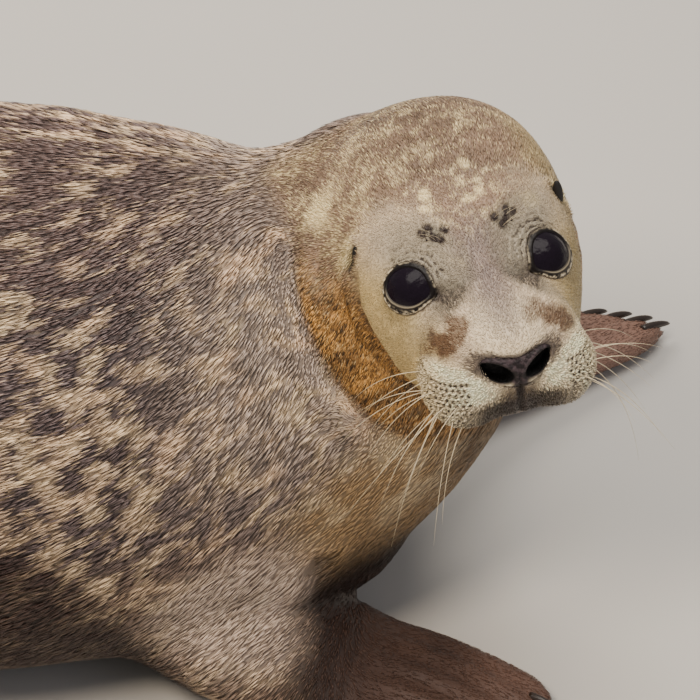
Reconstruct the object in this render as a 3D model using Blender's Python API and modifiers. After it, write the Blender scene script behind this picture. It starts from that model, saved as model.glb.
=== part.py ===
"""Harbor seal lying on its belly with the head turned to its right, a still life-size model.

Frame: metres, +Z up.  The trunk runs along X with the chest at +X, the seal's right side faces
-Y, and the origin is on the belly's flat, on the floor below the shoulders.
"""
import math

import bmesh
import bpy
import numpy as np
from mathutils import Matrix, Vector

# ---- sizes of the whole -------------------------------------------------------------------
GAP = 0.0003                # clearance between touching sub-parts
VOXEL = 0.0028              # grain at which the flesh is made into one surface
FLESH_TRIANGLES = 4560      # triangles kept for all the flesh together
SMOOTHING = 0.5
SMOOTHING_PASSES = 7
ROUND = 2.2                 # how square a body section is: 2 is an ellipse

# ---- head, in its own axes: x to the nose, y to the seal's left, z up, from between the eyes --
EYE_MIDDLE = Vector((0.1397, -0.0880, 0.3097))
HEAD_TURN = math.radians(-74.8)
HEAD_RISE = math.radians(10.0)
HEAD_TILT = math.radians(4.8)
HEAD_ROUND = 2.25
HEAD_MIDDLE = 0.42          # height of a section's widest place, as the top's share
# along x, half width, height of the top, height of the underside
HEAD_STATIONS = (
    (0.0650, 0.003, -0.027, -0.036),    # front of the nose
    (0.0620, 0.018, -0.017, -0.050),
    (0.0560, 0.031, -0.011, -0.062),
    (0.0440, 0.043, -0.006, -0.071),    # whisker pads
    (0.0220, 0.048, 0.003, -0.077),
    (0.0060, 0.0525, 0.012, -0.079),    # eyes
    (-0.0100, 0.059, 0.023, -0.081),
    (-0.0270, 0.0655, 0.0345, -0.084),  # brows
    (-0.0470, 0.0705, 0.044, -0.087),
    (-0.0700, 0.0735, 0.0515, -0.090),  # ears
    (-0.0950, 0.0755, 0.053, -0.093),   # crown
    (-0.1200, 0.0740, 0.047, -0.095),
    (-0.1450, 0.0685, 0.034, -0.092),
    (-0.1650, 0.051, 0.017, -0.078),
    (-0.1750, 0.020, -0.020, -0.040),   # nape
)
PAD_CENTRE = (0.038, 0.0255, -0.0480)
PAD_RADII = (0.0265, 0.0245, 0.0235)
EYE_CENTRE = (-0.0108, 0.0350, -0.0125)
EYE_RADIUS = 0.0195
EYE_OUTWARD = (0.62, 0.45, 0.64)
ORBIT_RADIUS = 0.0138
ORBIT_OUT = 0.0160          # from the eye's middle to the orbit's
NOSE_CENTRE = (0.0478, 0.0, -0.0315)
NOSE_RADII = (0.0195, 0.0250, 0.0125)
NOSE_SLOPE = math.radians(-8)
EAR_CENTRE = (-0.0405, 0.0630, 0.0050)
EAR_RADII = (0.0030, 0.0026, 0.0070)
EAR_SLIP = 0.005            # the turned neck draws the left ear up and the right ear down
MOUTH_HEIGHT = -0.0675
MOUTH_CORNER = 0.004

# ---- neck: balls along a short bent line ----------------------------------------------------
NECK_LOW = Vector((0.010, 0.004, 0.147))
NECK_MIDDLE = Vector((0.058, 0.008, 0.184))
NECK_HIGH = Vector((0.090, 0.022, 0.228))
NECK_RADII = (0.130, 0.114, 0.086)
NECK_BALLS = 11

# ---- hollows between joined shapes that are eased into one flow: centre and reach -----------------
EASED = (
    ((0.045, 0.000, 0.300), 0.075),     # nape, right
    ((0.020, 0.095, 0.230), 0.110),     # left side of the neck
    ((0.130, 0.060, 0.190), 0.075),     # throat, left
    ((0.020, 0.130, 0.060), 0.075),     # left armpit
    ((-0.060, -0.130, 0.090), 0.080),   # right shoulder
    ((-0.950, -0.080, 0.070), 0.085),   # roots of tail and hind flippers
)
EASE_PASSES = 90
EASE_STEP = 0.7             # share of the way to its neighbours a point moves in one pass
EASE_CORE = 1.4             # the inner part of a hollow is eased in full

# ---- trunk: x, y, height of the middle, half width, up to the back, down to the belly ----------
TRUNK_STATIONS = (
    (0.146, 0.008, 0.158, 0.004, 0.004, 0.004),     # breast
    (0.138, 0.008, 0.157, 0.035, 0.035, 0.035),
    (0.121, 0.007, 0.154, 0.061, 0.060, 0.064),
    (0.092, 0.005, 0.151, 0.086, 0.092, 0.099),
    (0.050, 0.002, 0.147, 0.113, 0.122, 0.135),
    (0.000, 0.000, 0.146, 0.140, 0.141, 0.1495),    # shoulders
    (-0.070, 0.000, 0.149, 0.163, 0.147, 0.151),
    (-0.140, 0.000, 0.151, 0.178, 0.151, 0.154),    # ribs
    (-0.300, -0.002, 0.150, 0.186, 0.153, 0.1535),
    (-0.450, -0.010, 0.139, 0.173, 0.143, 0.142),   # belly
    (-0.600, -0.024, 0.117, 0.143, 0.119, 0.119),
    (-0.750, -0.044, 0.092, 0.103, 0.090, 0.094),   # hips
    (-0.860, -0.062, 0.075, 0.070, 0.063, 0.068),
    (-0.930, -0.075, 0.066, 0.047, 0.042, 0.046),
    (-0.970, -0.083, 0.064, 0.026, 0.022, 0.024),   # rump
    (-0.985, -0.086, 0.064, 0.003, 0.003, 0.003),
)

# ---- limbs: four stations each from the root to the tip ------------------------------------------
STATION_PLACES = (0.0, 0.34, 0.62, 1.0)
DIGITS = 5
FORE_RIGHT = {
    "line": ((-0.050, -0.085, 0.085), (0.025, -0.108, 0.044), (0.096, -0.115, 0.0150),
             (0.179, -0.156, 0.0078)),
    "lead": ((0.6, 0.25, 0.75), (0.35, 0.85, 0.35), (0.25, 0.97, 0.05), (0.6, 0.8, 0.0)),
    "half_width": (0.055, 0.050, 0.045, 0.043),
    "half_thick": (0.045, 0.025, 0.0160, 0.0084),
    "slant": -0.030,
    "fork": 0.0,
    "cut_at": 0.53,
}
FORE_LEFT = {
    "line": ((0.000, 0.090, 0.085), (0.080, 0.134, 0.044), (0.161, 0.177, 0.0150),
             (0.266, 0.243, 0.0078)),
    "lead": ((0.8, -0.25, 0.55), (0.6, -0.75, 0.25), (0.60, -0.80, 0.05), (0.70, -0.71, 0.0)),
    "half_width": (0.055, 0.048, 0.042, 0.036),
    "half_thick": (0.045, 0.025, 0.0160, 0.0088),
    "slant": -0.055,
    "fork": 0.0,
    "cut_at": 0.44,
}
RUMP = (-0.905, -0.071, 0.067)
REARWARD = (-0.975, -0.220, 0.0)
# along rearward, out to the side, height
HIND_STATIONS = ((0.000, 0.014, 0.066), (0.095, 0.034, 0.058), (0.165, 0.056, 0.047), (0.240, 0.082, 0.042))
HIND_SPREAD = (-0.20, 0.55, -0.83)      # rearward, outward and upward share of the leading side
HIND_HALF_WIDTH = (0.032, 0.031, 0.043, 0.061)
HIND_HALF_THICK = (0.024, 0.017, 0.0110, 0.0068)
HIND_FORK = 0.022                       # how much longer the outer digits are than the middle one
TAIL = {
    "line": ((-0.915, -0.072, 0.086), (-0.980, -0.087, 0.101), (-1.008, -0.093, 0.106),
             (-1.050, -0.103, 0.110)),
    "lead": ((0.22, -0.975, 0.0),) * 4,
    "half_width": (0.024, 0.021, 0.019, 0.014),
    "half_thick": (0.020, 0.013, 0.010, 0.007),
    "slant": 0.0,
    "fork": 0.0,
}
DIGIT_RIDGE = 0.16          # how far a digit stands up, as a share of the thickness
DIGIT_SCALLOP = 0.0035      # how far a digit's end stands past the web
DIGITS_START = 0.45         # share of a limb's length where its digits begin to show
DIGITS_GROW = 0.30          # share of the length over which they grow
TIP_START = 0.88            # where a limb begins to round off
TIP_WIDTH = 0.55            # width left at the very end, as a share
TIP_THICKNESS = 0.12
SLANT_START = 0.30          # where the slant and the fork begin to draw the limb out
LIMB_RINGS = 60
LIMB_SIDES = 96
LIMB_MIDDLE = 0.75          # a place well inside a limb, beyond its cut
TANGENT_STEP = 0.01

# ---- claws: length, root radius, how far it is sunk in its digit -----------------------------------
FORE_CLAW = (0.024, 0.0032, 0.009)
HIND_CLAW = (0.018, 0.0026, 0.008)
CLAW_SIDES = 5
CLAW_RINGS = 3
CLAW_DROOP = math.radians(20)
CLAW_FALL = 0.6             # how much of its droop a claw loses in height
CLAW_STATION = 0.985        # share of the limb's length where the claws are rooted
CLAW_OUTERMOST = 0.8        # place of the outer claws across the limb
CLAW_ROW = 0.72             # width of the claws' row, as a share of the limb's
CLAW_HEIGHT = 0.42          # height of a root over the limb's middle, as a share of its thickness
CLAW_BEHIND = 0.010         # how far the outer claws of a forked limb stay behind its edge
CLAW_BLUNT = 1.02           # just over one leaves the point a little blunt
CLAW_TAPER = 2.2

# ---- cuts between parts: a point on the cut, the way across it, its half width and half height -----
HEAD_CUT = ((0.040, 0, 0.229), (0.777, 0, 0.63), 0.25, 0.20)
NECK_CUT = ((0.090, 0, 0.246), (0.0, -0.5, 0.866), 0.22, 0.22)
LOIN_CUT = ((-0.620, -0.027, 0.12), (1, 0.12, 0), 0.30, 0.30)
RUMP_CUT_BACK = 0.088       # behind the rump's point
RUMP_CUT_HALF = 0.12
FORE_CUT_HALF = (0.064, 0.035)
MOUTH_HALF_LENGTH = 0.05
MOUTH_HALF_WIDTH = 0.08
MOUTH_DROP = 0.03           # half the height of the cut down from the mouth's corner
# a point well inside each part, by which it is known once it is cut free
HEAD_PARTS = {"head": (-0.05, 0, -0.01), "lower_jaw": (0.028, 0, -0.074)}
BODY_PARTS = {"neck": (0.08, 0.01, 0.17), "trunk": (-0.25, 0.0, 0.15), "hindquarters": (-0.78, -0.05, 0.09)}

# ---- colours ------------------------------------------------------------------------------------
COAT_BROWN = (0.190, 0.130, 0.085, 1.0)
COAT_GREY = (0.200, 0.165, 0.150, 1.0)
FLIPPER_BROWN = (0.095, 0.055, 0.035, 1.0)
EYE_BLACK = (0.006, 0.005, 0.005, 1.0)
NOSE_GREY = (0.035, 0.027, 0.028, 1.0)
CLAW_DARK = (0.022, 0.016, 0.013, 1.0)


def smooth_curve(places, values, at):
    """Values between stations by a cubic that never overshoots a station."""
    places = np.asarray(places, float)
    values = np.asarray(values, float)
    steps = np.diff(places)
    slopes = np.diff(values, axis=0) / steps[:, None]
    before, after = slopes[:-1], slopes[1:]
    same_way = before * after > 0
    near = (2 * steps[1:] + steps[:-1])[:, None]
    far = (steps[1:] + 2 * steps[:-1])[:, None]
    mean = (near + far) / (near / np.where(same_way, before, 1) + far / np.where(same_way, after, 1))
    tangents = np.zeros_like(values)
    tangents[1:-1] = np.where(same_way, mean, 0)
    tangents[0], tangents[-1] = slopes[0], slopes[-1]
    at = np.clip(np.asarray(at, float), places[0], places[-1])
    span = np.clip(np.searchsorted(places, at) - 1, 0, len(steps) - 1)
    t = ((at - places[span]) / steps[span])[:, None]
    reach = steps[span][:, None]
    return ((2 * t**3 - 3 * t**2 + 1) * values[span]
            + (t**3 - 2 * t**2 + t) * reach * tangents[span]
            + (3 * t**2 - 2 * t**3) * values[span + 1]
            + (t**3 - t**2) * reach * tangents[span + 1])


def unit(rows):
    """Each row of an array at length one."""
    return rows / np.linalg.norm(rows, axis=-1, keepdims=True)


def head_axes():
    """Matrix from the head's own axes to the world's."""
    turn = Matrix.Rotation(HEAD_TURN, 4, "Z") @ Matrix.Rotation(-HEAD_RISE, 4, "Y")
    return Matrix.Translation(EYE_MIDDLE) @ turn @ Matrix.Rotation(HEAD_TILT, 4, "X")


def collection(name):
    """A collection of the scene, made once."""
    found = bpy.data.collections.get(name)
    if found is None:
        found = bpy.data.collections.new(name)
        bpy.context.scene.collection.children.link(found)
    return found


def material(name, colour, roughness):
    """A plain Principled material."""
    made = bpy.data.materials.new(name)
    made.use_nodes = True
    shader = made.node_tree.nodes["Principled BSDF"]
    shader.inputs["Base Color"].default_value = colour
    shader.inputs["Roughness"].default_value = roughness
    shader.inputs["Metallic"].default_value = 0.0
    made.diffuse_color = colour
    return made


def add_object(name, mesh, where="HarborSeal"):
    """Put a mesh in the scene as an object; cutters are shown as wires and not rendered."""
    made = bpy.data.objects.new(name, mesh)
    collection(where).objects.link(made)
    if where == "Cutters":
        made.hide_render = True
        made.display_type = "WIRE"
    return made


def ring_shape(rings):
    """Vertices and faces of a closed surface through rings of equal length."""
    count, sides = rings.shape[:2]
    ring, side = np.meshgrid(np.arange(count - 1), np.arange(sides), indexing="ij")
    following = (side + 1) % sides
    quads = np.stack([ring * sides + side, ring * sides + following,
                      (ring + 1) * sides + following, (ring + 1) * sides + side], -1)
    faces = [tuple(int(v) for v in quad) for quad in quads.reshape(-1, 4)]
    faces.append(tuple(reversed(range(sides))))
    faces.append(tuple(range((count - 1) * sides, count * sides)))
    return rings.reshape(-1, 3), faces


def mesh_from_shapes(name, shapes):
    """One mesh holding several closed shapes, each turned to face outwards."""
    frame = bmesh.new()
    for points, faces in shapes:
        corners = [frame.verts.new(point) for point in points]
        for face in faces:
            frame.faces.new([corners[index] for index in face])
    bmesh.ops.recalc_face_normals(frame, faces=frame.faces)
    mesh = bpy.data.meshes.new(name)
    frame.to_mesh(mesh)
    frame.free()
    return mesh


def ball_shape(centre, radii, slope=0.0, segments=16, rings=9):
    """Vertices and faces of an ellipsoid, leaned back by a slope about y."""
    frame = bmesh.new()
    bmesh.ops.create_uvsphere(frame, u_segments=segments, v_segments=rings, radius=1.0)
    place = (Matrix.Translation(centre) @ Matrix.Rotation(slope, 4, "Y")
             @ Matrix.Diagonal((*radii, 1.0)))
    bmesh.ops.transform(frame, matrix=place, verts=frame.verts)
    points = np.array([vert.co[:] for vert in frame.verts])
    faces = [tuple(vert.index for vert in face.verts) for face in frame.faces]
    frame.free()
    return points, faces


def moved(shape, matrix):
    """A shape carried by a matrix."""
    points, faces = shape
    turn = np.array(matrix.to_3x3())
    return points @ turn.T + np.array(matrix.translation), faces


def section_angles(sides, roundness):
    """Cosine and sine around a section, pushed out towards a rounded square."""
    angle = np.linspace(0, 2 * np.pi, sides, endpoint=False)
    cosine, sine = np.cos(angle), np.sin(angle)
    push = (np.abs(cosine) ** roundness + np.abs(sine) ** roundness) ** (-1 / roundness)
    return cosine * push, sine * push


def head_shape(count=72, sides=80):
    """The skull and jaws without pads: rounded sections square to the head's own x."""
    place = np.linspace(0, 1, len(HEAD_STATIONS))
    rows = smooth_curve(place, HEAD_STATIONS, np.linspace(0, 1, count))
    along, half, top, under = (rows[:, index:index + 1] for index in range(4))
    middle = HEAD_MIDDLE * top + (1 - HEAD_MIDDLE) * under
    cosine, sine = section_angles(sides, HEAD_ROUND)
    high = middle + np.where(sine > 0, top - middle, middle - under) * sine
    rings = np.stack([along + 0 * sine, half * cosine, high], -1)
    return ring_shape(rings)


def trunk_shape(count=110, sides=96):
    """The trunk: rounded sections square to a level line that bends to the seal's right."""
    place = np.linspace(0, 1, len(TRUNK_STATIONS))
    rows = smooth_curve(place, TRUNK_STATIONS, np.linspace(0, 1, count))
    centre = rows[:, :3]
    forward = unit(np.gradient(centre, axis=0) * -1)
    left = unit(np.cross((0.0, 0.0, 1.0), forward))
    up = np.cross(forward, left)
    cosine, sine = section_angles(sides, ROUND)
    across = rows[:, 3:4] * cosine
    high = np.where(sine > 0, rows[:, 4:5], rows[:, 5:6]) * sine
    rings = centre[:, None] + across[..., None] * left[:, None] + high[..., None] * up[:, None]
    return ring_shape(rings)


def neck_shapes():
    """Overlapping balls along a bent line from the shoulders to the back of the head."""
    shapes = []
    for step in np.linspace(0, 1, NECK_BALLS):
        low, middle, high = (1 - step) ** 2, 2 * step * (1 - step), step ** 2
        bend = NECK_MIDDLE * 2 - (NECK_LOW + NECK_HIGH) / 2
        centre = NECK_LOW * low + bend * middle + NECK_HIGH * high
        radius = np.interp(step, (0, 0.5, 1), NECK_RADII)
        shapes.append(ball_shape(centre, (radius,) * 3, segments=48, rings=32))
    return shapes


def hind_limb(side):
    """A hind flipper as a limb, fanned out and resting on its lower edge; side is 1 for the left."""
    rearward = np.array(REARWARD)
    outward = np.array((rearward[1], -rearward[0], 0.0)) * side
    rump = np.array((RUMP[0], RUMP[1], 0.0))
    line = [rump + rearward * back + outward * out + np.array((0, 0, high))
            for back, out, high in HIND_STATIONS]
    lead = rearward * HIND_SPREAD[0] + outward * HIND_SPREAD[1] + np.array((0, 0, HIND_SPREAD[2]))
    return {"line": line, "lead": (lead,) * 4, "half_width": HIND_HALF_WIDTH,
            "half_thick": HIND_HALF_THICK, "slant": 0.0, "fork": HIND_FORK}


def limb_frame(limb, at):
    """Centre, forward, leading side and normal of a limb at shares of its length."""
    centre = smooth_curve(STATION_PLACES, limb["line"], at)
    lead = unit(smooth_curve(STATION_PLACES, unit(np.array(limb["lead"], float)), at))
    ahead = smooth_curve(STATION_PLACES, limb["line"], np.clip(at + TANGENT_STEP, 0, 1))
    behind = smooth_curve(STATION_PLACES, limb["line"], np.clip(at - TANGENT_STEP, 0, 1))
    forward = unit(ahead - behind)
    normal = unit(np.cross(forward, lead))
    lead = unit(np.cross(normal, forward))
    return centre, forward, lead, normal


def digit_wave(across):
    """One at the middle of each digit and minus one in the web between."""
    return -np.cos(DIGITS * np.pi * (across + 1))


def limb_rings(limb, at, sides, digits=True):
    """Flat oval rings of a limb, ridged by its digits towards the tip."""
    centre, forward, lead, normal = limb_frame(limb, at)
    widths = np.stack([limb["half_width"], limb["half_thick"]], 1)
    half_width, half_thick = smooth_curve(STATION_PLACES, widths, at).T
    angle = np.linspace(0, 2 * np.pi, sides, endpoint=False)
    across, sine = np.cos(angle), np.sin(angle)
    end = np.sqrt(np.clip(1 - np.clip((at - TIP_START) / (1 - TIP_START), 0, 1) ** 2, 0, 1))
    spread = (half_width * (TIP_WIDTH + (1 - TIP_WIDTH) * end))[:, None] * across
    grown = np.clip((at - DIGITS_START) / DIGITS_GROW, 0, 1)[:, None] if digits else 0 * at[:, None]
    ridge = 1 + DIGIT_RIDGE * grown * digit_wave(across)
    high = (half_thick * (TIP_THICKNESS + (1 - TIP_THICKNESS) * end))[:, None] * sine * ridge
    late = np.clip((at - SLANT_START) / (1 - SLANT_START), 0, 1)[:, None]
    reach = late * (limb["slant"] * (1 - across) / 2 + limb["fork"] * across ** 2)
    reach = reach + DIGIT_SCALLOP * grown ** 3 * digit_wave(across)
    return (centre[:, None] + spread[..., None] * lead[:, None]
            + high[..., None] * normal[:, None] + reach[..., None] * forward[:, None])


def limb_shape(limb, digits=True):
    """A limb as one closed surface with a rounded end."""
    easing = np.sin(np.linspace(0, np.pi / 2, LIMB_RINGS))
    return ring_shape(limb_rings(limb, easing, LIMB_SIDES, digits))


def claw_shapes(limb, claw, swell=0.0):
    """Five curved claws, one on each digit's end, each with its root sunk in the digit."""
    length, radius, sunk = claw
    centre, forward, lead, normal = (row[0] for row in limb_frame(limb, np.array([CLAW_STATION])))
    upward = normal if normal[2] > 0 else -normal
    row_width = limb["half_width"][-1] * CLAW_ROW
    height = limb["half_thick"][-1] * CLAW_HEIGHT
    step = np.linspace(0, 1, CLAW_RINGS + 1)
    shapes = []
    for across in np.linspace(-CLAW_OUTERMOST, CLAW_OUTERMOST, DIGITS):
        reach = limb["slant"] * (1 - across) / 2 + DIGIT_SCALLOP
        reach += (limb["fork"] - CLAW_BEHIND) * across ** 2
        root = centre + lead * across * row_width + forward * reach + upward * height
        bend = CLAW_DROOP * step
        run = (length * step - sunk)[:, None]
        fall = run * np.sin(bend)[:, None] * CLAW_FALL
        line = root + forward * run * np.cos(bend)[:, None] - upward * fall
        thick = radius * np.sqrt(np.clip(CLAW_BLUNT - step ** CLAW_TAPER, 0, 1)) + swell
        line[0] -= forward * swell
        line[-1] += forward * swell
        angle = np.linspace(0, 2 * np.pi, CLAW_SIDES, endpoint=False)
        around = (np.cos(angle)[:, None] * lead + np.sin(angle)[:, None] * upward)
        rings = line[:, None] + thick[:, None, None] * around
        shapes.append(ring_shape(rings))
    return shapes


def ease_hollows(mesh):
    """Let chosen hollows flow together: each vertex near one moves to the mean of its neighbours."""
    points = np.empty(len(mesh.vertices) * 3)
    mesh.vertices.foreach_get("co", points)
    points = points.reshape(-1, 3)
    edges = np.empty(len(mesh.edges) * 2, int)
    mesh.edges.foreach_get("vertices", edges)
    start, end = edges.reshape(-1, 2).T
    weight = np.zeros(len(points))
    for centre, reach in EASED:
        away = np.linalg.norm(points - centre, axis=1)
        weight = np.maximum(weight, np.clip(EASE_CORE * (1 - away / reach), 0, 1))
    near = (weight[start] > 0) | (weight[end] > 0)
    ends = np.concatenate([start[near], end[near]])
    others = np.concatenate([end[near], start[near]])
    links = np.maximum(np.bincount(ends, minlength=len(points)), 1)
    for _ in range(EASE_PASSES):
        mean = np.stack([np.bincount(ends, points[others, axis], len(points)) for axis in range(3)], 1)
        points += weight[:, None] * EASE_STEP * (mean / links[:, None] - points) * (weight > 0)[:, None]
    mesh.vertices.foreach_set("co", points.ravel())
    mesh.update()


def flesh_mesh():
    """All the flesh as one surface: shapes joined, evened, thinned and cut flat at the floor."""
    head = head_axes()
    shapes = [moved(head_shape(), head), trunk_shape()]
    for side in (1, -1):
        centre = (PAD_CENTRE[0], side * PAD_CENTRE[1], PAD_CENTRE[2])
        shapes.append(moved(ball_shape(centre, PAD_RADII, segments=40, rings=24), head))
    shapes += neck_shapes()
    shapes += [limb_shape(limb) for limb in (FORE_RIGHT, FORE_LEFT, hind_limb(-1), hind_limb(1))]
    shapes.append(limb_shape(TAIL, digits=False))
    rough = add_object("flesh", mesh_from_shapes("flesh", shapes), "Cutters")
    remesh = rough.modifiers.new("one_surface", "REMESH")
    remesh.mode = "VOXEL"
    remesh.voxel_size = VOXEL
    even = rough.modifiers.new("even", "SMOOTH")
    even.factor = SMOOTHING
    even.iterations = SMOOTHING_PASSES
    fine = finished_mesh(rough)
    bpy.data.objects.remove(rough)
    ease_hollows(fine)
    whole = add_object("flesh", fine, "Cutters")
    thin = whole.modifiers.new("fewer_faces", "DECIMATE")
    thin.ratio = FLESH_TRIANGLES / sum(len(face.vertices) - 2 for face in fine.polygons)
    mesh = finished_mesh(whole)
    bpy.data.objects.remove(whole)
    frame = bmesh.new()
    frame.from_mesh(mesh)
    everything = list(frame.verts) + list(frame.edges) + list(frame.faces)
    cut = bmesh.ops.bisect_plane(frame, geom=everything, plane_co=(0, 0, 0), plane_no=(0, 0, -1),
                                 clear_outer=True)
    rim = [item for item in cut["geom_cut"] if isinstance(item, bmesh.types.BMEdge)]
    bmesh.ops.holes_fill(frame, edges=rim, sides=0)
    bmesh.ops.triangulate(frame, faces=frame.faces)
    frame.to_mesh(mesh)
    frame.free()
    return mesh


def finished_mesh(thing):
    """The mesh an object has once its modifiers have run."""
    bpy.context.view_layer.update()
    graph = bpy.context.evaluated_depsgraph_get()
    return bpy.data.meshes.new_from_object(thing.evaluated_get(graph), depsgraph=graph)


def box_shape(matrix, half):
    """A box with given half sizes carried by a matrix."""
    corners = [Vector((x * half[0], y * half[1], z * half[2]))
               for x in (-1, 1) for y in (-1, 1) for z in (-1, 1)]
    faces = [(0, 1, 3, 2), (4, 6, 7, 5), (0, 4, 5, 1), (2, 3, 7, 6), (0, 2, 6, 4), (1, 5, 7, 3)]
    return np.array([(matrix @ corner)[:] for corner in corners]), faces


def slab_at(matrix, half_width, half_height):
    """A sheet one gap thick, square to the x of a matrix."""
    return box_shape(matrix, (GAP / 2, half_width, half_height))


def flat_slab(point, forward, half_width, half_height):
    """A slab through a point, square to a direction."""
    turn = Vector(forward).to_track_quat("X", "Z").to_matrix().to_4x4()
    return slab_at(Matrix.Translation(point) @ turn, half_width, half_height)


def limb_slab(limb):
    """A slab square to a limb where it is cut."""
    frame = limb_frame(limb, np.array([limb["cut_at"]]))
    centre, forward, lead, normal = (row[0] for row in frame)
    turn = Matrix(np.stack([forward, lead, normal], 1).tolist()).to_4x4()
    return slab_at(Matrix.Translation(centre) @ turn, *FORE_CUT_HALF)


def partings():
    """Each cut in order: the piece it goes through, its slabs, and the names of the parts it frees."""
    head = head_axes()
    rump = Vector(RUMP) + Vector(REARWARD) * RUMP_CUT_BACK
    level = Matrix.Translation((MOUTH_CORNER + MOUTH_HALF_LENGTH, 0, MOUTH_HEIGHT))
    level = head @ level @ Matrix.Rotation(math.pi / 2, 4, "Y")
    upright = head @ Matrix.Translation((MOUTH_CORNER, 0, MOUTH_HEIGHT - MOUTH_DROP))
    mouth = [box_shape(level, (GAP / 2, MOUTH_HALF_WIDTH, MOUTH_HALF_LENGTH + GAP / 2)),
             box_shape(upright, (GAP / 2, MOUTH_HALF_WIDTH, MOUTH_DROP + GAP / 2))]
    return (
        ("trunk", [flat_slab(*HEAD_CUT)], ("head",)),
        ("trunk", [flat_slab(*LOIN_CUT)], ("hindquarters",)),
        ("trunk", [limb_slab(FORE_RIGHT)], ("fore_flipper_right",)),
        ("trunk", [limb_slab(FORE_LEFT)], ("fore_flipper_left",)),
        ("hindquarters", [flat_slab(rump, REARWARD, RUMP_CUT_HALF, RUMP_CUT_HALF)],
         ("hind_flipper_right", "hind_flipper_left", "tail")),
        ("head", [flat_slab(*NECK_CUT)], ("neck",)),
        ("head", mouth, ("lower_jaw",)),
    )


def anchors():
    """A point near the middle of each flesh part, by name."""
    head = head_axes()
    points = {name: head @ Vector(place) for name, place in HEAD_PARTS.items()}
    points.update((name, Vector(place)) for name, place in BODY_PARTS.items())
    for name, limb in (("fore_flipper_right", FORE_RIGHT), ("fore_flipper_left", FORE_LEFT),
                       ("hind_flipper_right", hind_limb(-1)), ("hind_flipper_left", hind_limb(1)),
                       ("tail", TAIL)):
        points[name] = Vector(limb_frame(limb, np.array([LIMB_MIDDLE]))[0][0])
    return points


def cut_by(thing, name, shapes):
    """Take a group of shapes out of an object with an exact Boolean."""
    cutter = add_object(name, mesh_from_shapes(name, shapes), "Cutters")
    bite = thing.modifiers.new(name, "BOOLEAN")
    bite.operation = "DIFFERENCE"
    bite.solver = "EXACT"
    bite.object = cutter


def loose_shapes(mesh):
    """The separate closed shapes a mesh holds."""
    frame = bmesh.new()
    frame.from_mesh(mesh)
    unseen = set(frame.verts)
    shapes = []
    for start in frame.verts:
        if start not in unseen:
            continue
        unseen.remove(start)
        group, edge = {start}, [start]
        while edge:
            for link in edge.pop().link_edges:
                for other in link.verts:
                    if other in unseen:
                        unseen.remove(other)
                        group.add(other)
                        edge.append(other)
        order = sorted(group, key=lambda vert: vert.index)
        number = {vert.index: place for place, vert in enumerate(order)}
        faces = [tuple(number[vert.index] for vert in face.verts)
                 for face in frame.faces if face.verts[0] in group]
        shapes.append((np.array([vert.co[:] for vert in order]), faces))
    frame.free()
    return shapes


def parted_flesh():
    """The flesh cut by the slabs in turn: the shape of each named part."""
    mesh = flesh_mesh()
    parts = {"trunk": loose_shapes(mesh)[0]}
    points = anchors()
    for source, slabs, freed in partings():
        whole = add_object("being_cut", mesh_from_shapes("being_cut", [parts.pop(source)]), "Cutters")
        for number, slab in enumerate(slabs):
            cut_by(whole, f"{freed[0]}_slab_{number}", [slab])
        shapes = loose_shapes(finished_mesh(whole))
        bpy.data.objects.remove(whole)
        names = [source, *freed]
        if len(shapes) != len(names):
            raise RuntimeError(f"{len(shapes)} pieces where {names} were meant")
        for corners, faces in shapes:
            middle = Vector((corners.max(0) + corners.min(0)) / 2)
            name = min(names, key=lambda key: (points[key] - middle).length)
            names.remove(name)
            parts[name] = (corners, faces)
    return parts


def add_flesh(looks):
    """One object for each part of the flesh, in its own coat."""
    made = {}
    for name, shape in parted_flesh().items():
        made[name] = add_object(name, mesh_from_shapes(name, [shape]))
        if "flipper" in name:
            look = "flipper_skin"
        elif name in ("head", "lower_jaw"):
            look = "head_coat"
        else:
            look = "body_coat"
        made[name].data.materials.append(looks[look])
    return made


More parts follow.
